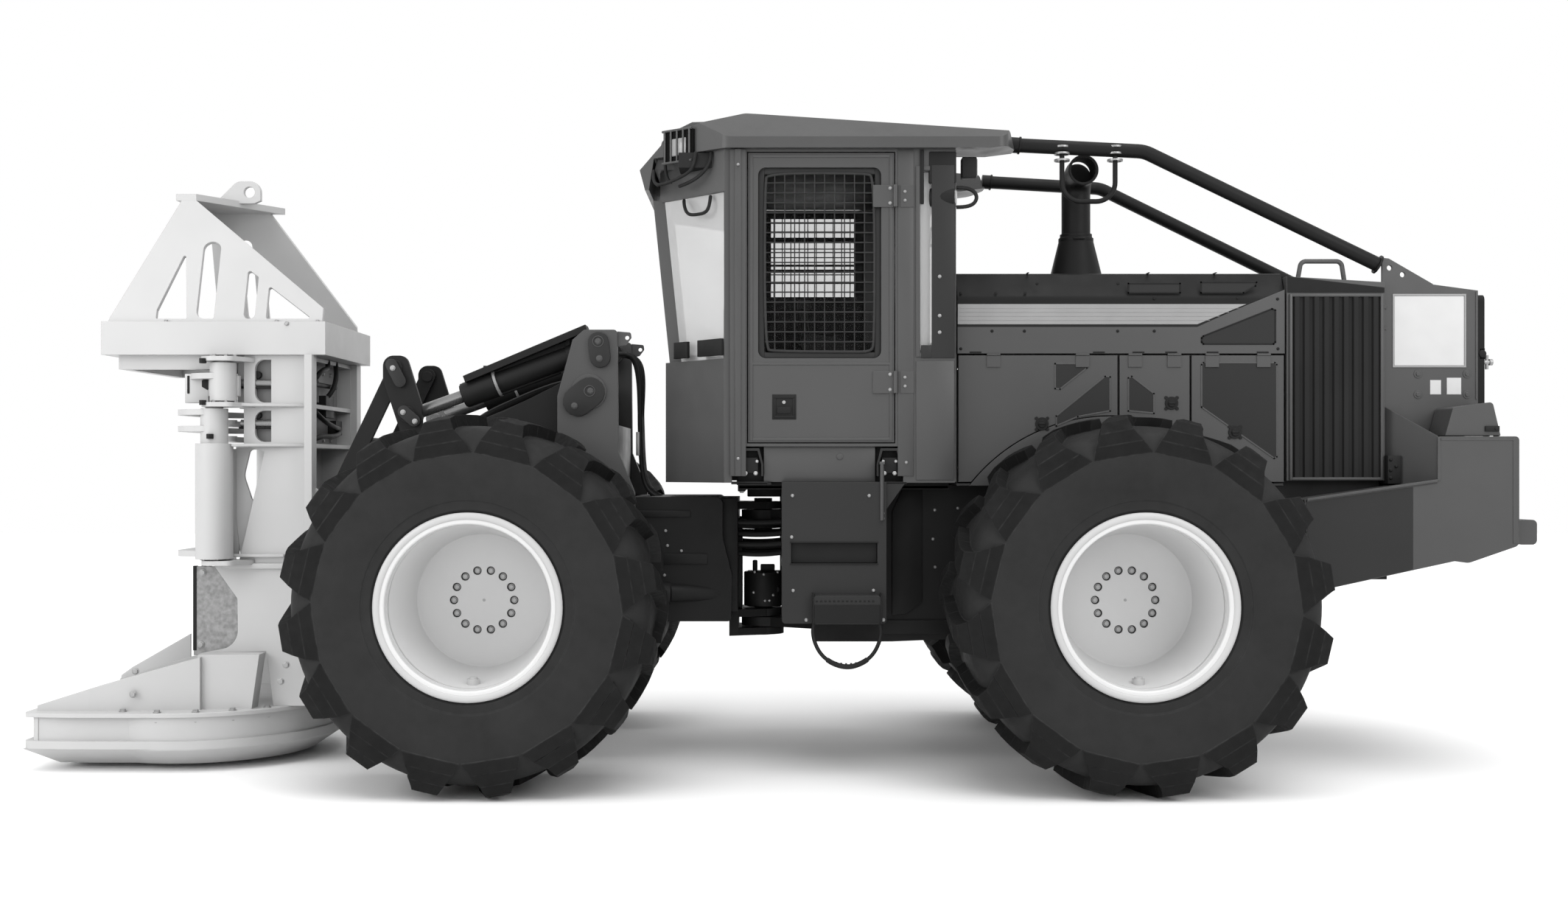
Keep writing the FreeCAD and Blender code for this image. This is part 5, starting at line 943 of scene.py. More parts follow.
class FELLER_OT_rear(bpy.types.Operator):
    """Add the blank plates, bolts, fan grille and lamps of the rear"""
    bl_idname = "feller.rear"
    bl_label = "Rear Details"

    def execute(self, context):
        y = REAR_BOX_SIDE
        bm = bmesh.new()
        window_border(bm, (-3.602, -3.219, 2.096, 2.479), 0.009, y, y + 0.004)
        piece(bm, "sign_frame", REAR, "stripe", mirror=True)
        boxes("blank_plates", REAR, "label", (-3.592, y, 2.106), (-3.229, y + 0.0015, 2.469),
              (-3.472, y, 1.955), (-3.415, y + 0.0015, 2.03), (-3.577, y, 1.955), (-3.502, y + 0.0015, 2.042),
              mirror=True)
        for x, z in ((-3.352, 2.062), (-3.352, 1.955), (-3.608, 2.062), (-3.608, 1.955)):
            pin(bm, (x, y, z), "Y", y + 0.003, 0.022, 20)
            pin(bm, (x, y + 0.003, z), "Y", y + 0.008, 0.011, 16)
        bolts(bm, [(-3.18, y, 2.41), (-3.18, y, 2.3)], (0, 1, 0), 0.009)
        piece(bm, "rear_box_bolts", REAR, "body", mirror=True)
        boxes("rear_box_edges", REAR, "body", (-3.172, y, 1.93), (-3.166, y + 0.004, 2.52),
              (-3.66, y, 1.93), (-3.652, y + 0.004, 2.49), mirror=True)
        # fan grille on the rear door
        door_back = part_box("rear_door")[0][0]
        x = door_back + 0.009
        boxes("rear_door_mesh", "rear_door", "mesh", (x - 0.0015, -0.47, 1.88), (x, 0.47, 2.39))
        for radius in (0.07, 0.13, 0.19, 0.245):
            turn(bm, [(radius - 0.004, -0.004), (radius + 0.004, -0.004), (radius + 0.004, 0.0), (radius - 0.004, 0.0)],
                 (x, 0, FAN_Z), "X", 40)
        for i in range(8):
            angle = math.pi * i / 4
            out = Vector((0, math.cos(angle), math.sin(angle)))
            bar(bm, Vector((x - 0.002, 0, FAN_Z)) + out * 0.03, Vector((x - 0.002, 0, FAN_Z)) + out * 0.25, 0.004, 8)
        pin(bm, (x, 0, FAN_Z), "X", x - 0.006, 0.05, 24)
        piece(bm, "rear_door_fan_guard", "rear_door", "hood")
        for side in (1, -1):
            block(bm, (x - 0.006, side * 0.5 - 0.02, 2.1), (x, side * 0.5 + 0.02, 2.2))
        pin(bm, (door_back + 0.02, 0.52, 2.17), "Y", 0.565, 0.02, 16)
        block(bm, (door_back + 0.006, 0.52, 2.14), (door_back + 0.036, 0.56, 2.2))
        piece(bm, "rear_door_latches", "rear_door", "chassis", bevel=0.003)
        pin(bm, (x, 0.535, 2.127), "X", x - 0.034, 0.011, 16)
        pin(bm, (x - 0.022, 0.535, 2.09), "Z", 2.164, 0.009, 14)
        pin(bm, (x - 0.034, 0.535, 2.127), "X", x - 0.05, 0.017, 16)
        piece(bm, "rear_door_handle", "rear_door", "zinc")
        # the counterweight's lamps, bolts and edges, and the latch of the tank's lid
        # painted shade: thin near-black plates stand for the tail lamps' recesses
        for side in (1, -1):
            block(bm, (-3.7695, side * 0.56, 1.5), (COUNTERWEIGHT_BACK, side * 0.76, 1.6))
        piece(bm, "tail_lamp_recess", REAR, "dark")
        for side in (1, -1):
            for y in (0.61, 0.71):
                pin(bm, (-3.769, side * y, 1.55), "X", -3.774, 0.036, 24)
        piece(bm, "tail_lamps", REAR, "lamp")
        for side in (1, -1):
            bolts(bm, [(-3.77, side * 0.8, z) for z in (1.35, 1.5, 1.65)], (-1, 0, 0), 0.014, 0.01)
        bolts(bm, [(COUNTERWEIGHT_BACK, 0.2 * i - 0.7, z) for z in (1.42, 1.66) for i in range(8)], (-1, 0, 0),
              0.016, 0.012)
        piece(bm, "counterweight_bolts", REAR, "chassis")
        boxes("counterweight_edges", REAR, "body", (-3.762, TANK_SIDE, 1.19), (-3.735, 0.852, 1.725),
              (-3.735, TANK_SIDE, 1.712), (-3.37, 0.852, 1.722), mirror=True)
        block(bm, (-3.672, 0.832, 1.757), (-3.6, 0.842, 1.785))
        pin(bm, (-3.655, 0.842, 1.771), "Y", 0.846, 0.009, 14)
        piece(bm, "tank_lid_latch", "tank_lid", "black", bevel=0.003)
        return {"FINISHED"}


class FELLER_OT_exhaust_and_guard(bpy.types.Operator):
    """Add clamps and a flange to the exhaust, and collars and clamps to the brush guard"""
    bl_idname = "feller.exhaust_and_guard"
    bl_label = "Exhaust And Guard"

    def execute(self, context):
        x, y = EXHAUST_X, EXHAUST_Y
        bm = bmesh.new()
        for z, radius in ((2.806, 0.094), (2.828, 0.086)):
            turn(bm, [(radius - 0.012, -0.009), (radius, -0.009), (radius, 0.009), (radius - 0.012, 0.009)],
                 (x, y, z), "Z", 40)
        pin(bm, (x - 0.03, y + 0.096, 2.806), "X", x + 0.03, 0.007, 12)
        pin(bm, (x, y, 2.592), "Z", 2.599, 0.155, 40)
        bolts(bm, [(x + 0.148 * math.cos(a), y + 0.148 * math.sin(a), 2.599) for a in (0.4, 1.97, 3.54, 5.11)],
              (0, 0, 1), 0.008)
        turn(bm, [(0.066, 0.0), (0.08, 0.0), (0.08, -0.012), (0.066, -0.012)], (x, 0.4695, 3.15), "Y", 40)
        piece(bm, "exhaust_clamps", REAR, "hood", bevel=0.0015)
        for side in (1, -1):
            bar(bm, (-1.228, side * 0.56, 3.264), (-1.275, side * 0.56, 3.261), 0.041, 28)
            bar(bm, (-1.275, side * 0.56, 3.261), (-1.283, side * 0.56, 3.26), 0.046, 28)
            rear = Vector((-3.146, side * 0.591, 2.633))
            run = Vector((-1.216, 0, -0.593)).normalized()
            bar(bm, rear - run * 0.006, rear + run * 0.004, 0.05, 28)
        piece(bm, "guard_collars", REAR, "hood")
        for x in (-1.5, -1.778):
            for z in (3.18, 3.215, 3.25):
                turn(bm, [(0.034, -0.005), (0.041, -0.005), (0.041, 0.005), (0.034, 0.005)], (x, 0.572, z), "Z", 20)
        piece(bm, "guard_loop_clamps", REAR, "zinc")
        return {"FINISHED"}


# ---- chassis -----------------------------------------------------------------------------------

STEP_BOX_SIDE = 0.8
HINGE_CYLINDER_X, HINGE_CYLINDER_RADIUS = 0.065, 0.107


class FELLER_OT_chassis(bpy.types.Operator):
    """Add the cab mounts, step bolts, grab rod, frame plates and hinge fittings"""
    bl_idname = "feller.chassis"
    bl_label = "Chassis Details"

    def execute(self, context):
        bm = bmesh.new()
        block(bm, (-0.512, 0.74, 1.5), (0.059, 0.743, 1.684))
        pin(bm, (-0.331, 0.743, 1.631), "Y", 0.748, 0.017, 20)
        piece(bm, "under_door_cover", REAR, "body", bevel=0.002, mirror=True)
        for low, high in ((0.058, 0.196), (-0.655, -0.515)):
            block(bm, (low, 0.69, 1.5), (high, 0.7, 1.69), (low + 0.03, 0.7, 1.545), (high - 0.03, 0.752, 1.625),
                  (low - 0.02, 0.66, 1.488), (high + 0.03, 0.76, 1.502))
        block(bm, (0.02, 0.4, 1.484), (0.197, 0.76, 1.498), (0.155, 0.5, 1.45), (0.195, 0.6, 1.484),
              (-0.9, 0.56, 1.46), (0.19, 0.64, 1.508))
        piece(bm, "cab_mount_brackets", REAR, "black", bevel=0.003, mirror=True)
        for low, high in ((0.058, 0.196), (-0.655, -0.515)):
            slab(bm, [(low + 0.004, 0.7, 1.59), (low + 0.024, 0.7, 1.672), (high - 0.024, 0.7, 1.672),
                      (high - 0.004, 0.7, 1.59), (high - 0.014, 0.7, 1.59), (high - 0.034, 0.7, 1.66),
                      (low + 0.034, 0.7, 1.66), (low + 0.014, 0.7, 1.59)], (0, 0.064, 0))
            block(bm, (low + 0.004, 0.7, 1.53), (low + 0.014, 0.764, 1.59),
                  (high - 0.014, 0.7, 1.53), (high - 0.004, 0.764, 1.59))
        slab(bm, [(-0.567, 0.77, 1.49), (-0.66, 0.77, 1.49), (-0.567, 0.77, 1.36)], (0, 0.01, 0))
        piece(bm, "cab_mount_frames", REAR, "shaded", mirror=True)
        for middle in (0.127, -0.585):
            bolts(bm, [(middle - 0.033, 0.752, 1.606), (middle + 0.033, 0.752, 1.606)], (0, 1, 0), 0.006)
            bolts(bm, [(middle - 0.026, 0.752, 1.545), (middle + 0.026, 0.752, 1.545)], (0, 1, 0), 0.008)
        bolts(bm, [(0.175, 0.55, 1.45)], (0, 0, -1), 0.012, 0.009)
        piece(bm, "cab_mount_bolts", REAR, "chrome_bolt", mirror=True)
        bolts(bm, [(x, STEP_BOX_SIDE, z) for x, z in ((-0.087, 1.431), (-0.478, 1.431), (-0.083, 1.22), (-0.09, 0.948),
                                            (-0.5, 0.948))], (0, 1, 0), 0.0065)
        bolts(bm, [(x, STEP_BOX_SIDE, 0.798) for x in (-0.157, -0.55)], (0, 1, 0), 0.007, 0.012)
        bolts(bm, [(x, 0.44, z) for x, z in ((-0.848, 1.349), (-0.97, 1.359), (-0.838, 1.195), (-0.85, 1.046))],
              (0, 1, 0), 0.006)
        bolts(bm, [(-0.546, STEP_BOX_SIDE, 1.342), (-0.546, STEP_BOX_SIDE, 1.314)], (0, 1, 0), 0.0075)
        piece(bm, "step_box_bolts", REAR, "zinc")
        # painted shade: dark strips for the grooves, edges and recessed band of the step box
        for z in (1.193, 1.083):
            block(bm, (-0.523, STEP_BOX_SIDE, z - 0.003), (-0.075, 0.806, z + 0.003))
        for i in range(14):
            block(bm, (-0.215 - 0.022 * i, 0.845, 0.893), (-0.205 - 0.022 * i, 0.848, 0.9))
        block(bm, (-0.195, STEP_BOX_SIDE, 0.78), (-0.188, 0.85, 0.935),
              (-0.54, STEP_BOX_SIDE, 0.78), (-0.533, 0.85, 0.935),
              (-0.53, 0.845, 0.785), (-0.198, 0.848, 0.878), (-0.518, 0.7, 1.087), (-0.082, 0.77, 1.188))
        piece(bm, "step_edges", REAR, "deep_shade")
        # rubber tread round the lowest part of the cable step
        first, last = (-0.2635, STEP_Y, 0.597), (-0.4685, STEP_Y, 0.5985)
        add_strand(bm, [first] + [(x, STEP_Y, z) for x, z in STEP_ROUTE[4:7]] + [last], 0.0135, 3, 12)
        for x, z in ((-0.31, 0.582), (-0.335, 0.5775), (-0.36, 0.575), (-0.385, 0.576), (-0.41, 0.58), (-0.43, 0.586)):
            pin(bm, (x, STEP_Y, z - 0.012), "Z", z + 0.004, 0.005, 8)
        piece(bm, "cable_step_tread", REAR, "rubber")
        pin(bm, (-0.543, 0.806, 1.305), "Z", 1.6, 0.011, 18)
        block(bm, (-0.556, 0.74, 1.59), (-0.531, 0.816, 1.604))
        piece(bm, "grab_rod", REAR, "body")
        for side in (1, -1):
            side_plate(bm, [(-0.62, 0.79), (-0.62, 1.34), (-0.68, 1.47), (-0.78, 1.47), (-0.78, 0.86), (-0.7, 0.8)],
                       side * 0.44, side * 0.455)
            block(bm, (-0.566, side * 0.455, 0.69), (-0.95, side * 0.442, 0.765))
        block(bm, (-0.21, -0.36, 0.655), (-0.69, 0.36, 0.692), (-0.9, -0.64, 1.462), (0.19, 0.64, 1.4825))
        piece(bm, "frame_plates", REAR, "chassis", bevel=0.004)
        # fittings of the centre hinge
        block(bm, (-0.035, -0.048, 0.803), (0.153, 0.048, 1.0), (0.0, -0.045, 1.0), (0.08, 0.045, 1.035))
        pin(bm, (HINGE_CYLINDER_X, 0, 0.806), "Z", 0.996, HINGE_CYLINDER_RADIUS, 48)
        block(bm, (-0.035, -0.048, 1.412), (0.153, 0.048, 1.478))
        pin(bm, (0.11, 0.02, 1.0), "Z", 1.06, 0.014, 16)
        pin(bm, (-0.01, 0.048, 0.9), "Y", 0.075, 0.018, 16)
        block(bm, (-0.33, -0.2, 0.84), (-0.04, 0.2, 1.03), (-0.33, -0.16, 1.3), (-0.04, 0.16, 1.462))
        piece(bm, "hinge_valve_block", REAR, "black", bevel=0.006)
        for x, z in ((0.112, 0.998), (0.062, 0.985), (-0.015, 0.995), (0.118, 0.885), (0.055, 0.84), (0.03, 0.84),
                     (0.01, 0.87)):
            bolts(bm, [(x, math.sqrt(HINGE_CYLINDER_RADIUS ** 2 - (x - HINGE_CYLINDER_X) ** 2), z)], (0, 1, 0), 0.0055)
        piece(bm, "hinge_fittings", REAR, "zinc")
        block(bm, (0.2, -0.33, 0.8), (0.3, 0.33, 1.41), (0.18, -0.12, 0.803), (0.21, 0.12, 1.24))
        for side in (1, -1):
            block(bm, (0.45, side * 0.4, 1.31), (0.77, side * 0.41, 1.345),
                  (0.36, side * 0.4, 1.06), (0.6, side * 0.41, 1.115))
            bar(bm, (0.25, side * 0.345, 0.9), (0.56, side * 0.41, 0.905), 0.046, 24)
            bar(bm, (0.56, side * 0.41, 0.905), (0.72, side * 0.43, 0.91), 0.056, 24)
        piece(bm, "front_frame_plates", FRONT, "chassis", bevel=0.004)
        bolts(bm, [(0.665, 0.402, 1.24), (0.584, 0.402, 1.237), (0.5, 0.402, 1.13), (0.574, 0.402, 1.158),
                   (0.59, 0.402, 1.0)], (0, 1, 0), 0.006)
        piece(bm, "front_frame_bolts", FRONT, "zinc", mirror=True)
        return {"FINISHED"}


HINGE_HOSES = ((0.17, 1.285, 0.018), (0.05, 1.27, 0.02), (-0.08, 1.275, 0.018), (-0.19, 1.29, 0.018),
               (0.14, 1.225, 0.017), (0.02, 1.232, 0.019), (-0.12, 1.222, 0.017),
               (0.18, 1.17, 0.018), (0.06, 1.16, 0.016), (-0.06, 1.165, 0.018), (-0.17, 1.172, 0.016),
               (0.12, 1.12, 0.015), (-0.03, 1.118, 0.015), (-0.14, 1.125, 0.015))


class FELLER_OT_hinge_hoses(bpy.types.Operator):
    """Run the hydraulic hoses across the centre hinge"""
    bl_idname = "feller.hinge_hoses"
    bl_label = "Hinge Hoses"

    def execute(self, context):
        bm = bmesh.new()
        for i, (y, z, radius) in enumerate(HINGE_HOSES):
            sag = 0.012 + 0.006 * (i % 3)
            add_strand(bm, [(-0.42, y, z + 0.015), (-0.28, y, z + 0.012), (-0.12, y, z), (0.02, y * 0.9, z - sag),
                            (0.16, y * 0.92, z - sag), (0.28, y, z - 0.004), (0.36, y, z + 0.004),
                            (0.44, y, z + 0.006)],
                       radius)
        bundle = piece(bm, "hinge_hoses", REAR, "hose")
        bundle.parent = None
        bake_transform(bundle)
        return {"FINISHED"}


# ---- boom --------------------------------------------------------------------------------------

def capsule(bm, first, second, radius, low, high):
    """A round-ended plate between two places of the XZ plane."""
    run = Vector((second[0] - first[0], second[1] - first[1]))
    heading = math.atan2(run.y, run.x)
    outline = []
    for centre, start in ((second, heading - math.pi / 2), (first, heading + math.pi / 2)):
        for i in range(9):
            angle = start + math.pi * i / 8
            outline.append((centre[0] + radius * math.cos(angle), centre[1] + radius * math.sin(angle)))
    side_plate(bm, outline, low, high)


def sleeve(bm, start, end, inner, outer, sides=36):
    """A ring of square section round the line from start to end."""
    aim = (end - start).to_track_quat("Z", "Y")
    loops = []
    for centre, radius in ((start, inner), (start, outer), (end, outer), (end, inner)):
        loops.append([bm.verts.new(centre + aim @ Vector((radius * math.cos(2 * math.pi * i / sides),
                                                          radius * math.sin(2 * math.pi * i / sides), 0)))
                      for i in range(sides)])
    for low, high in zip(loops, loops[1:] + loops[:1]):
        for i in range(sides):
            follow = (i + 1) % sides
            bm.faces.new((low[i], low[follow], high[follow], high[i]))


TILT_Y, TILT_BORE = 0.34, 0.052


class FELLER_OT_boom(bpy.types.Operator):
    """Add pin plates, cylinder bands and hoses of the boom and its tower"""
    bl_idname = "feller.boom"
    bl_label = "Boom Details"

    def execute(self, context):
        bm = bmesh.new()
        capsule(bm, (0.935, 2.236), (0.925, 2.156), 0.055, 0.47, 0.496)
        capsule(bm, (0.98, 1.972), (1.042, 1.924), 0.08, 0.47, 0.4955)
        piece(bm, "tower_pin_plates", FRONT, "shaded", bevel=0.003, mirror=True)
        bolts(bm, [(0.935, 0.496, 2.24), (0.928, 0.496, 2.15), (1.06, 0.4955, 1.9), (0.975, 0.4955, 1.978)],
              (0, 1, 0), 0.013, 0.008)
        for x, z in ((0.935, 2.24), (0.98, 1.978)):
            turn(bm, [(0.026, 0.4965), (0.03, 0.4965), (0.03, 0.4985), (0.026, 0.4985)], (x, 0, z), "Y", 28)
        piece(bm, "tower_pin_bolts", FRONT, "body", mirror=True)
        for name, upper, lower in (("lobe_pin_plates", (2.03, 2.118), (1.985, 2.03)),
                                   ("rod_pin_plates", (1.965, 1.87), (1.91, 1.822))):
            capsule(bm, upper, lower, 0.032, 0.467, 0.481)
            piece(bm, name, "bellcrank", "shaded", bevel=0.002, mirror=True)
        bolts(bm, [(2.022, 0.481, 2.1), (1.905, 0.481, 1.818), (1.968, 0.481, 1.866)], (0, 1, 0), 0.011)
        piece(bm, "crank_bolts", "bellcrank", "zinc", mirror=True)
        # tilt cylinder: gland collar, strap and skirt of its guard
        base, eye = Vector((0.938, TILT_Y, 2.228)), Vector((1.951, TILT_Y, 1.856))
        along = (eye - base).normalized()
        for start, end, radius in ((0.6, 0.765, 0.068), (0.765, 0.785, 0.06), (0.15, 0.18, 0.064)):
            sleeve(bm, base + along * start, base + along * end, TILT_BORE, radius)
        side_plate(bm, [(1.006, 2.318), (1.092, 2.2), (1.53, 2.03), (1.62, 2.0), (1.648, 2.04), (1.65, 2.055)],
                   0.335, 0.342)
        bar(bm, (1.15, TILT_Y, 2.09), (1.56, TILT_Y, 1.938), 0.012, 12)
        piece(bm, "tilt_barrel_bands", "tilt_barrels", "chassis", mirror=True)
        sleeve(bm, base + along * 0.583, base + along * 0.597, TILT_BORE, 0.072)
        piece(bm, "tilt_barrel_strap", "tilt_barrels", "stripe", mirror=True)
        # hoses over the boom
        for y, lift in ((0.26, 0.0), (0.2, 0.05), (0.14, 0.02), (0.08, 0.06), (0.23, -0.05), (0.12, -0.04)):
            for side in (1, -1):
                add_strand(bm, [(0.98, side * y * 0.8, 1.99 + lift), (1.1, side * y, 2.0 + lift),
                                (1.25, side * y, 1.96 + lift), (1.45, side * y, 1.87 + lift),
                                (1.62, side * y, 1.81 + lift * 0.7), (1.72, side * y, 1.71 + lift * 0.5),
                                (1.72, side * y, 1.6)], 0.019)
        piece(bm, "boom_hoses", "boom", "hose")
        for i in range(11):
            y = -0.1 + 0.02 * i
            drop = 0.012 * (i % 3)
            add_strand(bm, [(0.86, y, 2.2), (0.79 - drop, y, 2.21), (0.752 - drop, y, 2.1), (0.748, y, 1.9),
                            (0.742, y, 1.65), (0.73, y, 1.52), (0.7, y * 1.4, 1.44), (0.63 - drop, y * 1.6, 1.395),
                            (0.55, y * 1.7, 1.37), (0.45, y * 1.7, 1.36)], 0.0125)
        piece(bm, "tower_hoses", FRONT, "hose")
        boxes("tower_hose_clamp", FRONT, "zinc", (0.745, -0.12, 1.64), (0.765, 0.12, 1.77), bevel=0.003)
        return {"FINISHED"}


# ---- felling head ------------------------------------------------------------------------------

SAW_X, ARM_PIN_Y, ARM_CYLINDERS = 3.152, 0.52, (2.017, 1.803)


class FELLER_OT_head(bpy.types.Operator):
    """Add ribs, painted-shade pocket backs, hoses, bolts and wear parts of the felling head"""
    bl_idname = "feller.head"
    bl_label = "Felling Head Details"

    def execute(self, context):
        # ribs round the column and the plates behind the arms' tubes
        bm = bmesh.new()
        for z, reach in ((1.904, 0.56), (1.692, 0.56)):
            slab(bm, [(2.467, 0.45, z - 0.008), (2.467, 0.456, z - 0.008), (2.72, 0.5, z - 0.008),
                      (2.85, reach, z - 0.008), (2.85, 0.45, z - 0.008)], (0, 0, 0.016))
        block(bm, (2.6, 0.44, 1.1), (2.963, 0.478, 1.116), (2.6, 0.44, 1.037), (2.93, 0.466, 1.067))
        pin(bm, (2.89, 0.47, 1.055), "Z", 1.1, 0.036, 24)
        block(bm, (2.861, 0.384, 1.096), (2.934, 0.4, 1.673), (3.0, 0.43, 1.916), (3.125, 0.47, 2.07),
              (2.83, 0.46, 1.95), (2.99, 0.5, 2.06))
        piece(bm, "head_ribs", "head", "head", bevel=0.003, mirror=True)
        # painted shade: darker backs in the arm cylinder pockets
        boxes("pocket_backs", "head", "head_shaded", (2.662, 0.393, 1.915), (2.815, 0.4, 2.156),
              (2.662, 0.393, 1.708), (2.815, 0.4, 1.893), mirror=True)
        for z in ARM_CYLINDERS:
            pin(bm, (2.665, 0.425, z + 0.006), "X", 2.84, 0.02, 24)
        piece(bm, "arm_cylinder_rods", "head", "chrome", mirror=True)
        for z in ARM_CYLINDERS:
            block(bm, (2.665, 0.41, z - 0.024), (2.85, 0.44, z - 0.012))
            pin(bm, (2.756, 0.4, z + 0.05), "Y", 0.43, 0.021, 20)
        pin(bm, (3.005, 0.47, 2.018), "Y", 0.474, 0.034, 6)
        block(bm, (3.1, 0.47, 1.965), (3.112, 0.474, 2.06))
        for z in (1.9, 2.118):
            pin(bm, (2.985, 0.6, z), "Z", z + 0.026, 0.019, 6)
        piece(bm, "arm_pin_bolts", "head", "black", bevel=0.002, mirror=True)
        # on the left side only: the right harvest arm sweeps through the same places on its side
        pin(bm, (2.948, 0.6, 1.724), "Z", 1.75, 0.019, 6)
        pin(bm, (2.888, ARM_PIN_Y, 1.622), "Z", 1.67, 0.02, 6)
        piece(bm, "left_arm_stop_bolts", "head", "black", bevel=0.002)
        for x, radius, z in ((2.905, 0.062, 1.916), (2.905, 0.062, 2.156), (2.952, 0.066, 1.086)):
            for i in range(6):
                angle = math.pi * i / 3
                spot = (x + radius * math.cos(angle), ARM_PIN_Y + radius * math.sin(angle))
                bar(bm, (*spot, z), (*spot, z + 0.012), 0.0095, 6)
        piece(bm, "arm_pin_cap_bolts", "head", "zinc", mirror=True)
        # bolts of the saw housing, wings, deck and wear plates
        for degrees in (12, 26, 41, 56, 71, 87, 103, 118, 133):
            angle = math.radians(degrees)
            bolts(bm, [(SAW_X + 0.697 * math.cos(angle), 0.697 * math.sin(angle), 0.31)], (0, 0, 1), 0.015, 0.014)
            bolts(bm, [(SAW_X + 0.705 * math.cos(angle), 0.705 * math.sin(angle), 0.262)], (0, 0, -1), 0.008, 0.008)
        bolts(bm, [(3.331, 0.646, 0.398), (3.359, 0.54, 0.505), (2.578, 0.6, 0.459), (2.55, 0.6, 0.545)],
              (0, 1, 0), 0.014, 0.01)
        bolts(bm, [(3.224, 0.47, 2.346), (2.639, 0.47, 2.346), (2.423, 0.47, 2.346)], (0, 0, 1), 0.009, 0.01)
        bolts(bm, [(2.579, 0.49, 2.334)], (0, 1, 0), 0.009, 0.008)
        bolts(bm, [(3.05, 0.4085, 1.015), (3.06, 0.4085, 0.63)], (0, 1, 0), 0.014, 0.01)
        bolts(bm, [(3.05, 0.396, 1.047), (3.02, 0.396, 1.047)], (0, 0, 1), 0.01, 0.01)
        piece(bm, "head_bolts", "head", "zinc", mirror=True)
        boxes("wear_plate_edges", "head", "chassis", (3.084, 0.384, 0.6), (3.1025, 0.41, 1.05), mirror=True)
        # rear recess: a painted-shade back plate, valve and hoses
        boxes("recess_back", "head", "head_shaded", (2.548, -0.4, 1.7), (2.554, 0.4, 2.16))
        block(bm, (2.49, -0.12, 1.852), (2.55, 0.05, 1.973), (2.5, 0.16, 1.93), (2.55, 0.3, 2.05),
              (2.5, -0.33, 1.76), (2.55, -0.2, 1.84))
        pin(bm, (2.5, 0.26, 2.027), "Y", -0.18, 0.013, 16)
        for route in ([(2.5, 0.26, 2.04), (2.47, 0.24, 2.1), (2.47, 0.14, 2.11), (2.47, 0.05, 2.13), (2.5, 0.02, 2.2)],
                      [(2.5, 0.24, 1.88), (2.47, 0.22, 1.84), (2.47, 0.05, 1.81), (2.47, -0.15, 1.79),
                       (2.5, -0.25, 1.8)],
                      [(2.5, 0.3, 1.72), (2.47, 0.2, 1.75), (2.48, 0.02, 1.74), (2.47, -0.2, 1.76),
                       (2.5, -0.28, 1.8)],
                      [(2.5, -0.02, 1.97), (2.45, -0.03, 2.02), (2.46, -0.1, 2.12), (2.5, -0.14, 2.2)]):
            add_strand(bm, route, 0.014)
        piece(bm, "recess_hoses", "head", "hose")
        bolts(bm, [(2.548, y, z) for y in (-0.25, -0.1, 0.1, 0.28) for z in (1.725, 2.1)], (-1, 0, 0), 0.009)
        piece(bm, "recess_bolts", "head", "zinc")
        side_plate(bm, [(3.455, 0.592), (3.8, 0.394), (3.868, 0.345), (3.868, 0.3), (3.455, 0.3)], -0.575, -0.56)
        piece(bm, "right_wing_guard", "head", "head", bevel=0.003)
        # end blocks of the saw housing, and the saw's teeth
        for side in (1, -1):
            block(bm, (3.8, side * 0.32, 0.12), (3.86, side * 0.4, 0.24),
                  (3.76, side * 0.42, 0.12), (3.8, side * 0.5, 0.24))
        # painted shade: the end blocks take the shaded copy of the head paint
        piece(bm, "housing_end_blocks", "head", "head_shaded", bevel=0.004)
        for i in range(18):
            angle = 2 * math.pi * i / 18
            out = Vector((math.cos(angle), math.sin(angle), 0))
            across = Vector((-out.y, out.x, 0))
            middle = Vector((SAW_X, 0, 0.237)) + out * 0.637
            slab(bm, [middle - out * 0.028 - across * 0.03, middle + out * 0.022 - across * 0.03,
                      middle + out * 0.026 + across * 0.022, middle - out * 0.028 + across * 0.016], (0, 0, 0.018))
            spot = middle - out * 0.006 - across * 0.006
            bar(bm, spot + Vector((0, 0, 0.017)), spot + Vector((0, 0, 0.024)), 0.009, 6)
        piece(bm, "saw_teeth", "saw", "zinc")
        return {"FINISHED"}


# ---- seat --------------------------------------------------------------------------------------

SEAT_PADS = {
    "seat_cushion_pad": [(-0.588, 1.973), (-0.108, 1.973), (-0.108, 2.068), (-0.588, 2.068)],
    "seat_back_pad": [(-0.615, 2.1), (-0.52, 2.1), (-0.668, 2.775), (-0.772, 2.775)]}
PAD_HALF, PAD_CAP = 0.236, 0.009


def inflate(pad):
    """Puff a pad up with a short cloth run in which no point moves further than the cap."""
    skin = pad.modifiers.new("skin", "REMESH")
    skin.mode, skin.voxel_size = "VOXEL", 0.008
    bpy.context.view_layer.objects.active = pad
    bpy.ops.object.modifier_apply(modifier=skin.name)
    start = [vert.co.copy() for vert in pad.data.vertices]
    cloth = pad.modifiers.new("puff", "CLOTH")
    cloth.settings.use_pressure = True
    cloth.settings.uniform_pressure_force = 4.0
    cloth.settings.effector_weights.gravity = 0.0
    for frame in range(1, 21):
        bpy.context.scene.frame_set(frame)
    puffed = pad.evaluated_get(bpy.context.evaluated_depsgraph_get())
    ends = [vert.co.copy() for vert in puffed.data.vertices]
    pad.modifiers.remove(cloth)
    bpy.context.scene.frame_set(1)
    for vert, before, after in zip(pad.data.vertices, start, ends):
        step = after - before
        vert.co = before + step * min(1.0, PAD_CAP / max(step.length, 1e-6))
    even = pad.modifiers.new("even", "SMOOTH")
    even.factor, even.iterations = 0.6, 10
    bpy.ops.object.modifier_apply(modifier=even.name)
    pad.data.shade_smooth()


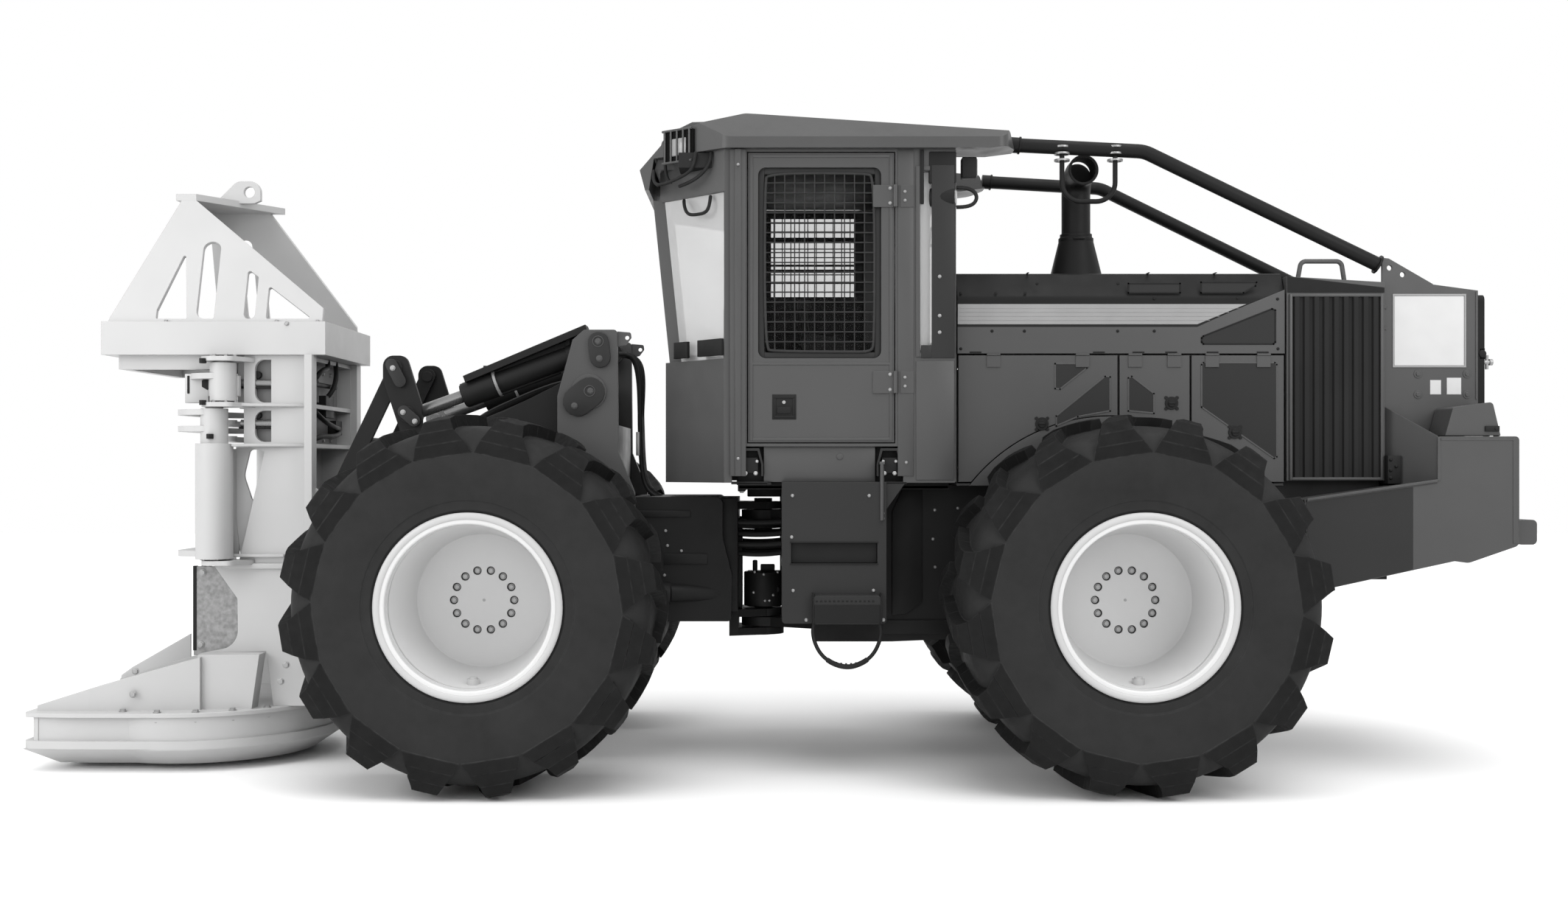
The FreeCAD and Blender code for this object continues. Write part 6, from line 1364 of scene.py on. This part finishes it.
class FELLER_OT_seat(bpy.types.Operator):
    """Make the two padded parts of the seat and their piping"""
    bl_idname = "feller.seat"
    bl_label = "Seat"

    def execute(self, context):
        for name, outline in SEAT_PADS.items():
            bm = bmesh.new()
            side_plate(bm, outline, -PAD_HALF, PAD_HALF)
            pad = piece(bm, name, REAR, "cloth")
            inflate(pad)
            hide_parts("seat_cushions")
        bm = bmesh.new()
        for z, front in ((2.3, -0.5645), (2.52, -0.613)):
            pin(bm, (front, -0.2, z), "Y", 0.2, 0.005, 8)
        for x in (-0.25, -0.42):
            pin(bm, (x, -0.2, 2.0725), "Y", 0.2, 0.005, 8)
        piece(bm, "seat_piping", REAR, "hose")
        return {"FINISHED"}


# ---- stage -------------------------------------------------------------------------------------

def area_light(name, place, aim, size, energy):
    lamp = bpy.data.lights.new(name, "AREA")
    lamp.shape = "RECTANGLE"
    lamp.size, lamp.size_y = size
    lamp.energy = energy
    lit = bpy.data.objects.new(name, lamp)
    lit.location = place
    lit.rotation_euler = (Vector(aim) - Vector(place)).to_track_quat("-Z", "Y").to_euler()
    bpy.context.scene.collection.objects.link(lit)
    return lit


class FELLER_OT_stage(bpy.types.Operator):
    """Make the camera, the floor and the studio lights"""
    bl_idname = "feller.stage"
    bl_label = "Stage"

    def execute(self, context):
        scene, stage = context.scene, context.scene.feller.stage
        camera = bpy.data.objects.new("camera", bpy.data.cameras.new("camera"))
        camera.data.lens = stage.lens
        camera.data.sensor_width = 36.0
        camera.data.shift_x, camera.data.shift_y = 0.0094, 0.0066
        camera.data.clip_end = 200.0
        camera.location = (0.031, stage.distance, stage.height)
        camera.rotation_euler = (math.pi / 2, 0, math.pi)
        scene.collection.objects.link(camera)
        scene.camera = camera

        bm = bmesh.new()
        bmesh.ops.create_grid(bm, x_segments=1, y_segments=1, size=stage.floor_size / 2)
        mesh = bpy.data.meshes.new("floor")
        bm.to_mesh(mesh)
        bm.free()
        floor = bpy.data.objects.new("floor", mesh)
        mesh.materials.append(finish_surface("floor_pale", (0.86,) * 3, 0.01, (0.6, 0.7), patch=0.5))
        scene.collection.objects.link(floor)

        world = bpy.data.worlds.new("studio")
        world.use_nodes = True
        world.node_tree.nodes["Background"].inputs["Color"].default_value = (1, 1, 1, 1)
        world.node_tree.nodes["Background"].inputs["Strength"].default_value = 1.0
        scene.world = world
        scene.view_settings.view_transform = "Standard"
        sun = bpy.data.lights.new("key_light", "SUN")
        sun.energy, sun.angle = 1.5, math.radians(50)
        key = bpy.data.objects.new("key_light", sun)
        key.rotation_euler = Vector((0.1, -0.32, -1.0)).to_track_quat("-Z", "Y").to_euler()
        scene.collection.objects.link(key)
        area_light("fill_light", (2.5, 9.0, 3.0), (0, 0, 1.2), (8, 3), 60)
        area_light("rear_fill_light", (-5.0, 6.0, 5.0), (2.8, 0, 1.8), (4, 4), 160)
        area_light("nose_fill_light", (7.0, 5.0, 4.0), (0, 0, 1.8), (4, 4), 220)
        return {"FINISHED"}


# ---- panel and running -------------------------------------------------------------------------

OPERATORS = (FELLER_OT_stage, FELLER_OT_step_loop, FELLER_OT_finishes, FELLER_OT_tyres, FELLER_OT_rims,
             FELLER_OT_cab_door, FELLER_OT_cab, FELLER_OT_engine_doors, FELLER_OT_hood, FELLER_OT_cooler,
             FELLER_OT_rear, FELLER_OT_exhaust_and_guard, FELLER_OT_chassis, FELLER_OT_hinge_hoses,
             FELLER_OT_boom, FELLER_OT_head, FELLER_OT_seat)
GROUPS = (FELLER_PG_finishes, FELLER_PG_tyres, FELLER_PG_stage, FELLER_PG_settings)


class FELLER_PT_panel(bpy.types.Panel):
    """Lists the steps that build the looks"""
    bl_idname = "FELLER_PT_panel"
    bl_label = "Feller Buncher"
    bl_space_type = "VIEW_3D"
    bl_region_type = "UI"
    bl_category = "Feller"

    def draw(self, context):
        settings = context.scene.feller
        for group in (settings.finishes, settings.tyres, settings.stage):
            for prop in group.bl_rna.properties:
                if not prop.is_readonly and prop.identifier != "name":
                    self.layout.prop(group, prop.identifier)
        for operator in OPERATORS:
            self.layout.operator(operator.bl_idname)


def register():
    for cls in (*GROUPS, *OPERATORS, FELLER_PT_panel):
        bpy.utils.register_class(cls)
    bpy.types.Scene.feller = PointerProperty(type=FELLER_PG_settings)


def unregister():
    del bpy.types.Scene.feller
    for cls in reversed((*GROUPS, *OPERATORS, FELLER_PT_panel)):
        bpy.utils.unregister_class(cls)


def main():
    register()
    for operator in OPERATORS:
        group, name = operator.bl_idname.split(".")
        getattr(getattr(bpy.ops, group), name)()


if __name__ == "__main__":
    main()
